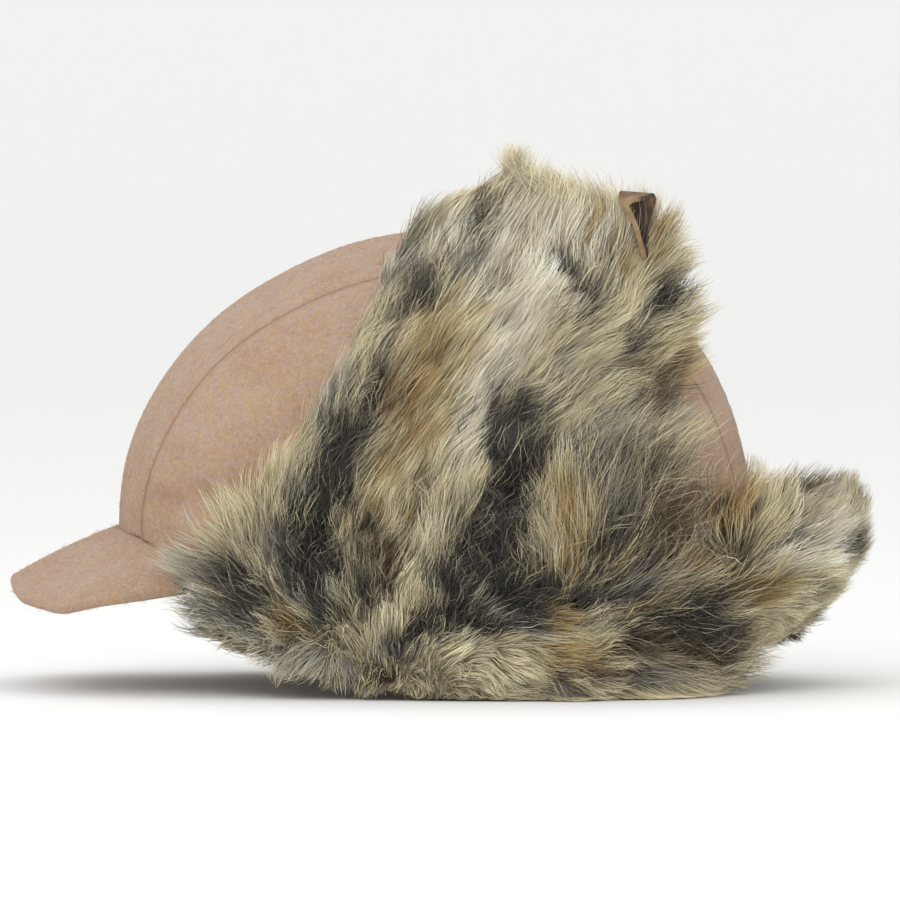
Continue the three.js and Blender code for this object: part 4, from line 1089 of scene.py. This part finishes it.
# %% [markdown]
# ## Far ear flap
# The far flap would be cut from another part of the pelt, so its colours differ. Its nap is the near
# flap's in a mirror.

# %% Far ear flap hair
FAR_PATCHES = [
    (-30, 60, 34, 40, -20, "grey", 0.9), (20, 150, 40, 30, 0, "ivory", 1.0),
    (-50, 40, 20, 16, -20, "charcoal", 1.0), (-10, 100, 10, 30, -20, "gold", 0.9),
    (-25, 90, 7, 26, -18, "smoke", 0.9), (12, 95, 9, 34, -18, "ivory", 1.0),
    (34, 78, 14, 22, -10, "charcoal", 1.1), (24, 50, 22, 16, 0, "charcoal", 1.1),
    (48, 60, 10, 12, 0, "khaki", 0.9), (60, 90, 14, 9, 25, "gold", 0.8), (70, 108, 12, 6, 25, "smoke", 0.9),
    (55, 130, 10, 8, 30, "charcoal", 0.9), (30, 186, 18, 4, 0, "gold", 0.5),
    (20, 170, 5, 14, -30, "smoke", 0.8), (0, 150, 5, 12, -28, "charcoal", 0.9),
    (75, 40, 18, 10, 0, "bark", 1.0), (85, 22, 14, 10, 0, "black", 1.0), (10, 15, 40, 7, 0, "cream", 0.9),
    (-70, 30, 16, 10, -30, "grey", 0.9), (45, 14, 16, 5, 5, "gold", 0.9), (62, 60, 8, 8, 0, "smoke", 0.8),
]
FAR_PATCHES = [(x, z * 0.93 - 4, rx, rz, turn, name, share)
               for x, z, rx, rz, turn, name, share in FAR_PATCHES]
far = flap_coat(FLAP_TURNS, FLAP_LENGTHS, FAR_PATCHES, "khaki", 400, mirrored=True)
hair["right"] = fur_coat("ear_flap_fur_right", far, FAR_HAIRS, 300, pelts["right"])

# %% [markdown]
# ## Neck flap
# Its hair stands up and sweeps outwards, away from the nape, and hangs a little over the fold.

# %% Neck flap hair
NECK_TURNS = [
    (89.5, 67.3, -40), (89.5, 49.4, -50), (91.3, 35.1, -40), (100.6, 61.6, 18), (116.0, 58.4, 46),
    (131.4, 61.6, 48), (111.0, 43.3, 64), (136.4, 51.5, 72), (146.8, 48.3, 80), (126.4, 31.1, 66),
    (111.0, 17.5, 120), (141.8, 70.2, 40), (148.9, 58.7, 64), (121.4, 20.8, 105), (132.5, 27.2, 90),
    (102.0, 31.5, 70),
]
NECK_PATCHES = [
    (127.1, 54.8, 17, 8.48, 15, "ivory", 1.23), (114.6, 70.9, 10.6, 5.3, 0, "cream", 1.06),
    (132.5, 72.7, 10.6, 4.24, 0, "grey", 0.66), (97.4, 53.7, 7.42, 8.48, -35, "grey", 0.6),
    (103.1, 51.2, 8, 6, 20, "cream", 0.8), (91.3, 50.1, 4.24, 6.36, -35, "charcoal", 1.06),
    (102.4, 58.0, 2.76, 7.42, -35, "charcoal", 1.00), (114.9, 56.6, 7.42, 2.76, 20, "smoke", 0.77),
    (141.4, 54.8, 4.24, 4.24, 0, "smoke", 0.94), (140.3, 47.3, 3.18, 2.12, 0, "smoke", 0.88),
    (145.7, 70.2, 4.24, 4.66, -20, "bark", 1.15), (153.2, 59.4, 3.18, 6.36, 0, "bark", 0.80),
    (153.9, 51.2, 3.18, 6.36, 0, "gold", 0.66), (103.1, 37.9, 15, 7, 8, "gold", 1.2),
    (89.5, 35.1, 6.36, 4.24, 0, "gold", 0.94), (127.4, 35.1, 7, 3.5, 25, "bark", 0.6),
    (119.9, 30.1, 12, 7, 30, "cream", 0.8), (111.7, 21.5, 10, 7, 20, "khaki", 0.9),
    (128.2, 22.9, 5.3, 3.18, 0, "bark", 0.8), (104.5, 14.3, 6.36, 4.24, 0, "grey", 0.88),
    (143.2, 41.5, 8.48, 5.3, 0, "cream", 1.00), (82.3, 26.8, 10.6, 6.36, 0, "bark", 1.15),
    (89.5, 12.9, 7, 6, 0, "black", 1.30), (81.6, 65.5, 7, 11, -45, "bark", 1.3),
    (95.9, 67.3, 9, 8, 0, "gold", 1.1), (91.3, 74.5, 7, 7, -45, "rust", 0.8),
    (89.5, 31.5, 6.36, 4.24, 0, "black", 1.17),
]
NECK_LENGTHS = [
    (89.5, 61.9, 1.6), (100.2, 65.5, 1.1), (111.0, 67.3, 0.75), (125.3, 70.9, 0.95), (143.2, 70.9, 0.6),
    (151.1, 56.6, 0.75), (125.3, 24.3, 0.45), (143.2, 35.1, 0.7), (103.8, 17.2, 0.4), (91.3, 38.7, 1.2),
    (121.7, 45.8, 1.0),
]


def neck_fringe(span, section, root, rng):
    low = root[:, 2] - 9 - 10 * np.abs(span)
    hang = low < 5 + 2.5 * uneven(root, 15, 73) + rng.normal(0, 1.5, len(root))
    return hang, 2.2 + 0.3 * uneven(root, 19, 74) + rng.normal(0, 0.25, len(root))


neck = dict(locks=240, surface=neck_point, ways=neck_ways, ranges=((-1, 1), (0.1, 1)), turns=NECK_TURNS,
            lengths=NECK_LENGTHS, patches=NECK_PATCHES, base="khaki", fringe=neck_fringe,
            swing=lambda span: -np.clip(span * 2.5, -1, 1), lift=0.6, long=(17, 24), short=(8, 13))
hair["neck"] = fur_coat("neck_flap_fur", neck, NECK_HAIRS, 500, pelts["neck"])

# %% [markdown]
# A pelt is a sheet, so its flat cut is measured on the skin: its widest row and its longest line from the
# seam to the free edge, in metres, and the area of all its cells.

# %% Flat sizes
def flat_cut(pelt, columns, rows):
    cells = mesh_points(pelt.data).reshape(rows + 1, columns + 1, 3)
    across = np.linalg.norm(np.diff(cells, axis=1), axis=2).sum(axis=1)
    down = np.linalg.norm(np.diff(cells, axis=0), axis=2).sum(axis=0)
    area = sum(face.area for face in pelt.data.polygons)
    return (float(across.max()), float(down.max())), area


for word, columns, rows, rest in (("left", 60, 90, "side_panel_felt_left"),
                                  ("right", 60, 90, "side_panel_felt_right"),
                                  ("neck", 70, 50, "centre_panel_felt")):
    flat, area = flat_cut(pelts[word], columns, rows)
    print(pelts[word].name, "flat", round(flat[0], 4), "by", round(flat[1], 4), "m, area", round(area, 5))

# %% [markdown]
# ## Tape loop
# A doubled suede tape is sewn to the tip of the near flap. Its front strand stands edge-on to the
# viewer and leans forward, the tape turns over at the top, and the back strand shows its inner face.
# So the loop is a strip whose middle line follows a short table and whose width turns as it goes.

# %% Suede material
# Split leather tape: matt, with a short nap, darker in patches where fingers have pressed it, and with
# painted shade on the inside of the loop.
suede, suede_shader = new_material("suede_tape", {
    "Roughness": 0.9, "Specular IOR Level": 0.2, "Sheen Weight": 0.2, "Sheen Roughness": 0.5,
})
place = add_node(suede, "ShaderNodeTexCoord").outputs["Object"]
nap = add_node(suede, "ShaderNodeTexNoise", {"Scale": 1000 / 0.9, "Detail": 4, "Distortion": 1.0},
               {"Vector": place})
worn = add_node(suede, "ShaderNodeTexNoise", {"Scale": 1000 / 6, "Detail": 2}, {"Vector": place})
mixed = add_node(suede, "ShaderNodeMix", {6: rgba("#7d6448"), 7: rgba("#b3926a")},
                 {"Factor": nap.outputs["Fac"]}, data_type="RGBA")
dull = add_node(suede, "ShaderNodeMapRange", {"From Min": 0.4, "From Max": 0.7, "To Max": 0.5},
                {"Value": worn.outputs["Fac"]})
rubbed = add_node(suede, "ShaderNodeMix", {7: rgba("#574538")},
                  {"Factor": dull.outputs["Result"], 6: mixed.outputs[2]}, data_type="RGBA")
# painted shade on the inside of the loop
inner = add_node(suede, "ShaderNodeAttribute", attribute_name="pressed_or_painted_shade")
tone = add_node(suede, "ShaderNodeMix", {7: rgba("#43362e")},
                {"Factor": inner.outputs["Fac"], 6: rubbed.outputs[2]}, data_type="RGBA")
bump = add_node(suede, "ShaderNodeBump", {"Strength": 0.7, "Distance": 0.0004},
                {"Height": nap.outputs["Fac"]})
feed(suede, suede_shader, tone.outputs[2], bump.outputs["Normal"])

# %% Loop
TAPE_THICKNESS, TAPE_EDGE = 1.6, 0.5
# along, out from the flap's face, up, then the way the width points, then the width
LOOP_ROWS = np.array([
    (68.2, -4.5, 154.0, 0.05, -1.00, 0.00, 6.5), (67.6, -5.8, 157.5, 0.04, -1.00, 0.00, 7.5),
    (66.4, -6.8, 161.5, 0.02, -1.00, 0.00, 8.5), (65.4, -7.2, 165.5, 0.00, -1.00, 0.00, 8.5),
    (63.6, -7.4, 169.4, 0.00, -1.00, 0.05, 8.5), (61.4, -7.0, 172.6, 0.10, -1.00, 0.10, 8.5),
    (61.9, -5.4, 174.2, 0.50, -0.85, 0.10, 7.5), (63.9, -3.6, 176.0, 0.90, -0.45, -0.16, 9.5),
    (65.9, -2.6, 177.0, 1.00, -0.20, -0.08, 12.0), (66.8, -2.4, 175.0, 1.00, -0.15, 0.0, 12.2),
    (67.0, -2.2, 171.0, 1.00, -0.15, 0.05, 9.5), (67.3, -2.4, 166.0, 1.00, -0.25, 0.05, 6.0),
    (67.4, -2.8, 160.0, 0.80, -0.60, 0.05, 5.0), (67.6, -3.4, 154.0, 0.60, -0.80, 0.00, 5.0),
])
LOOP_X, LOOP_ROOT_Z = 66.0, 152.0
FOLD_TOP = 4.6  # where the flap starts upwards from its fold
face_along = (LOOP_X - FLAP_FRONT_X) / FLAP_LENGTH
face_up = (LOOP_ROOT_Z - FOLD_TOP) / (FLAP_TOP_Z - FOLD_TOP)
low_share, high_share = np.interp(face_up, FLAP_UP, FLAP_FRONT), np.interp(face_up, FLAP_UP, FLAP_BACK)
face_share = (face_along - low_share) / (high_share - low_share)
face_y = flap_point(np.array([face_share]), np.array([2 + face_up]))[0, 1]
print("flap's cloth side at the loop: y", round(face_y, 1), "mm")


def loop_surface(u, v):
    rows = np.linspace(0, 1, len(LOOP_ROWS))
    cells = np.stack([smooth_rows(u, rows, LOOP_ROWS[:, c]) for c in range(7)], axis=-1)
    middle = cells[:, :3] + [0, face_y - PELT, 0]
    # painted shade: none on the front strand, growing over the turn and down the back strand, and along the
    # back strand's edges
    inner = np.interp(u, [0.46, 0.52, 0.66, 0.78], [0.0, 0.4, 0.5, 1.0])
    inner = np.maximum(inner, 0.9 * (np.abs(v - 0.5) > 0.4) * (u > 0.52))
    return middle + unit(cells[:, 3:6]) * ((v - 0.5) * cells[:, 6])[:, None], inner


def smooth_rows(u, rows, column):
    fine = np.linspace(0, 1, 300)
    kernel = np.hanning(23) / np.hanning(23).sum()
    straight = np.pad(np.interp(fine, rows, column), 11, mode="edge")
    return np.interp(u, fine, np.convolve(straight, kernel, "valid"))


loop = laid_grid("tape_loop", 90, 8, loop_surface, suede)
give_wall(loop, TAPE_THICKNESS, 0)
edge = loop.modifiers.new("soft_edge", "BEVEL")
edge.width, edge.segments, edge.limit_method = TAPE_EDGE * MM, 2, "ANGLE"
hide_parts("flap_loop")

# %% [markdown]
# ## The wool's own fuzz
# Felt has a bloom of loose fibres, two or three millimetres long, that lie nearly flat. They soften
# the outline and catch the light, which a bump map can't do. Each is a sliver of three triangles.

# %% Fuzz on the felt
def fuzz(name, surface, count, seed, flip=1):
    rng = np.random.default_rng(seed)
    u, v = scatter(lambda a, b: surface(a, b)[0], (0.004, 0.996), (0.004, 0.996), count, rng)
    point = surface(u, v)[0]
    across = unit(surface(np.minimum(1, u + 0.004), v)[0] - point)
    up = unit(surface(u, np.minimum(1, v + 0.004))[0] - point)
    out = unit(np.cross(across, up)) * flip
    turn = rng.uniform(0, 2 * math.pi, count)
    way = unit(across * np.cos(turn)[:, None] + np.cross(out, across) * np.sin(turn)[:, None])
    length = rng.uniform(1.6, 3.6, count)
    path = bend_hair(point - out * 0.1, way, out, length, rng.uniform(0.1, 0.5, count), 3, rng,
                     rng.uniform(0.05, 0.3, count))
    tone = rng.random(count)[:, None]
    tip = linear("#c39c80") * (1 - tone) + linear("#e6d2bf") * tone
    return ribbons(name, path, out, rng.uniform(0.1, 0.2, count), tip, tip * 0.8, rng, fur)


FUZZ = 9000
fuzz("fuzz_centre", centre_surface, FUZZ, 70, -1)
fuzz("fuzz_left", side_surface(-1), FUZZ, 71, 1)
fuzz("fuzz_right", side_surface(1), FUZZ // 2, 72, -1)
fuzz("fuzz_visor", visor_surface, FUZZ // 3, 73, 1)

# %% [markdown]
# ## Floor and light
# A pale floor without an edge, a bright even sky and two broad lamps give the soft, almost
# shadowless light of a product picture. The lamp above and in front leaves the folds at the table
# a little darker than the crown.

# %% Floor
FLOOR_START, FLOOR_RUN, FLOOR_HALF_WIDTH = -5, 8, 9  # metres
BEND_START, BEND_RADIUS = 4.5, 2
floor_material, floor_shader = new_material("pale_paper", {"Roughness": 0.9})
grain = add_node(floor_material, "ShaderNodeTexNoise", {"Scale": 400.0, "Detail": 2},
                 {"Vector": add_node(floor_material, "ShaderNodeTexCoord").outputs["Object"]})
paper = add_node(floor_material, "ShaderNodeMix", {6: rgba("#f1f1f0"), 7: rgba("#f6f6f5")},
                 {"Factor": grain.outputs["Fac"]}, data_type="RGBA")
feed(floor_material, floor_shader, paper.outputs[2])
bm = bmesh.new()
bmesh.ops.create_grid(bm, x_segments=1, y_segments=60, size=1)
for vertex in bm.verts:
    # the grid runs from in front of the camera to behind the hat, where it curves up into a wall
    run = (vertex.co.y + 1) * FLOOR_RUN + FLOOR_START
    turn = min(max(run - BEND_START, 0) / BEND_RADIUS, math.pi / 2)
    past = max(0, run - BEND_START - BEND_RADIUS * math.pi / 2)
    back = min(run, BEND_START) + BEND_RADIUS * math.sin(turn)
    vertex.co = (vertex.co.x * FLOOR_HALF_WIDTH, back, BEND_RADIUS * (1 - math.cos(turn)) + past)
floor_mesh = bpy.data.meshes.new("floor")
bm.to_mesh(floor_mesh)
bm.free()
floor = add_object("floor", floor_mesh, floor_material)

# %% Light
world = bpy.data.worlds.new("studio")
world.use_nodes = True
world.node_tree.nodes["Background"].inputs["Color"].default_value = (1, 1, 1, 1)
world.node_tree.nodes["Background"].inputs["Strength"].default_value = 1.0
bpy.context.scene.world = world
bpy.context.scene.view_settings.view_transform = "Standard"


def lamp(name, place, power, size):
    data = bpy.data.lights.new(name, "AREA")
    data.energy = power
    data.size = size
    light = bpy.data.objects.new(name, data)
    light.location = place
    light.rotation_euler = (Vector((0, 0, 0.09)) - light.location).to_track_quat("-Z", "Y").to_euler()
    bpy.context.scene.collection.objects.link(light)


lamp("key", Vector((-0.4, -1.3, 0.9)), 7, 1.0)
lamp("top", Vector((0.2, 0.1, 1.5)), 2, 1.2)
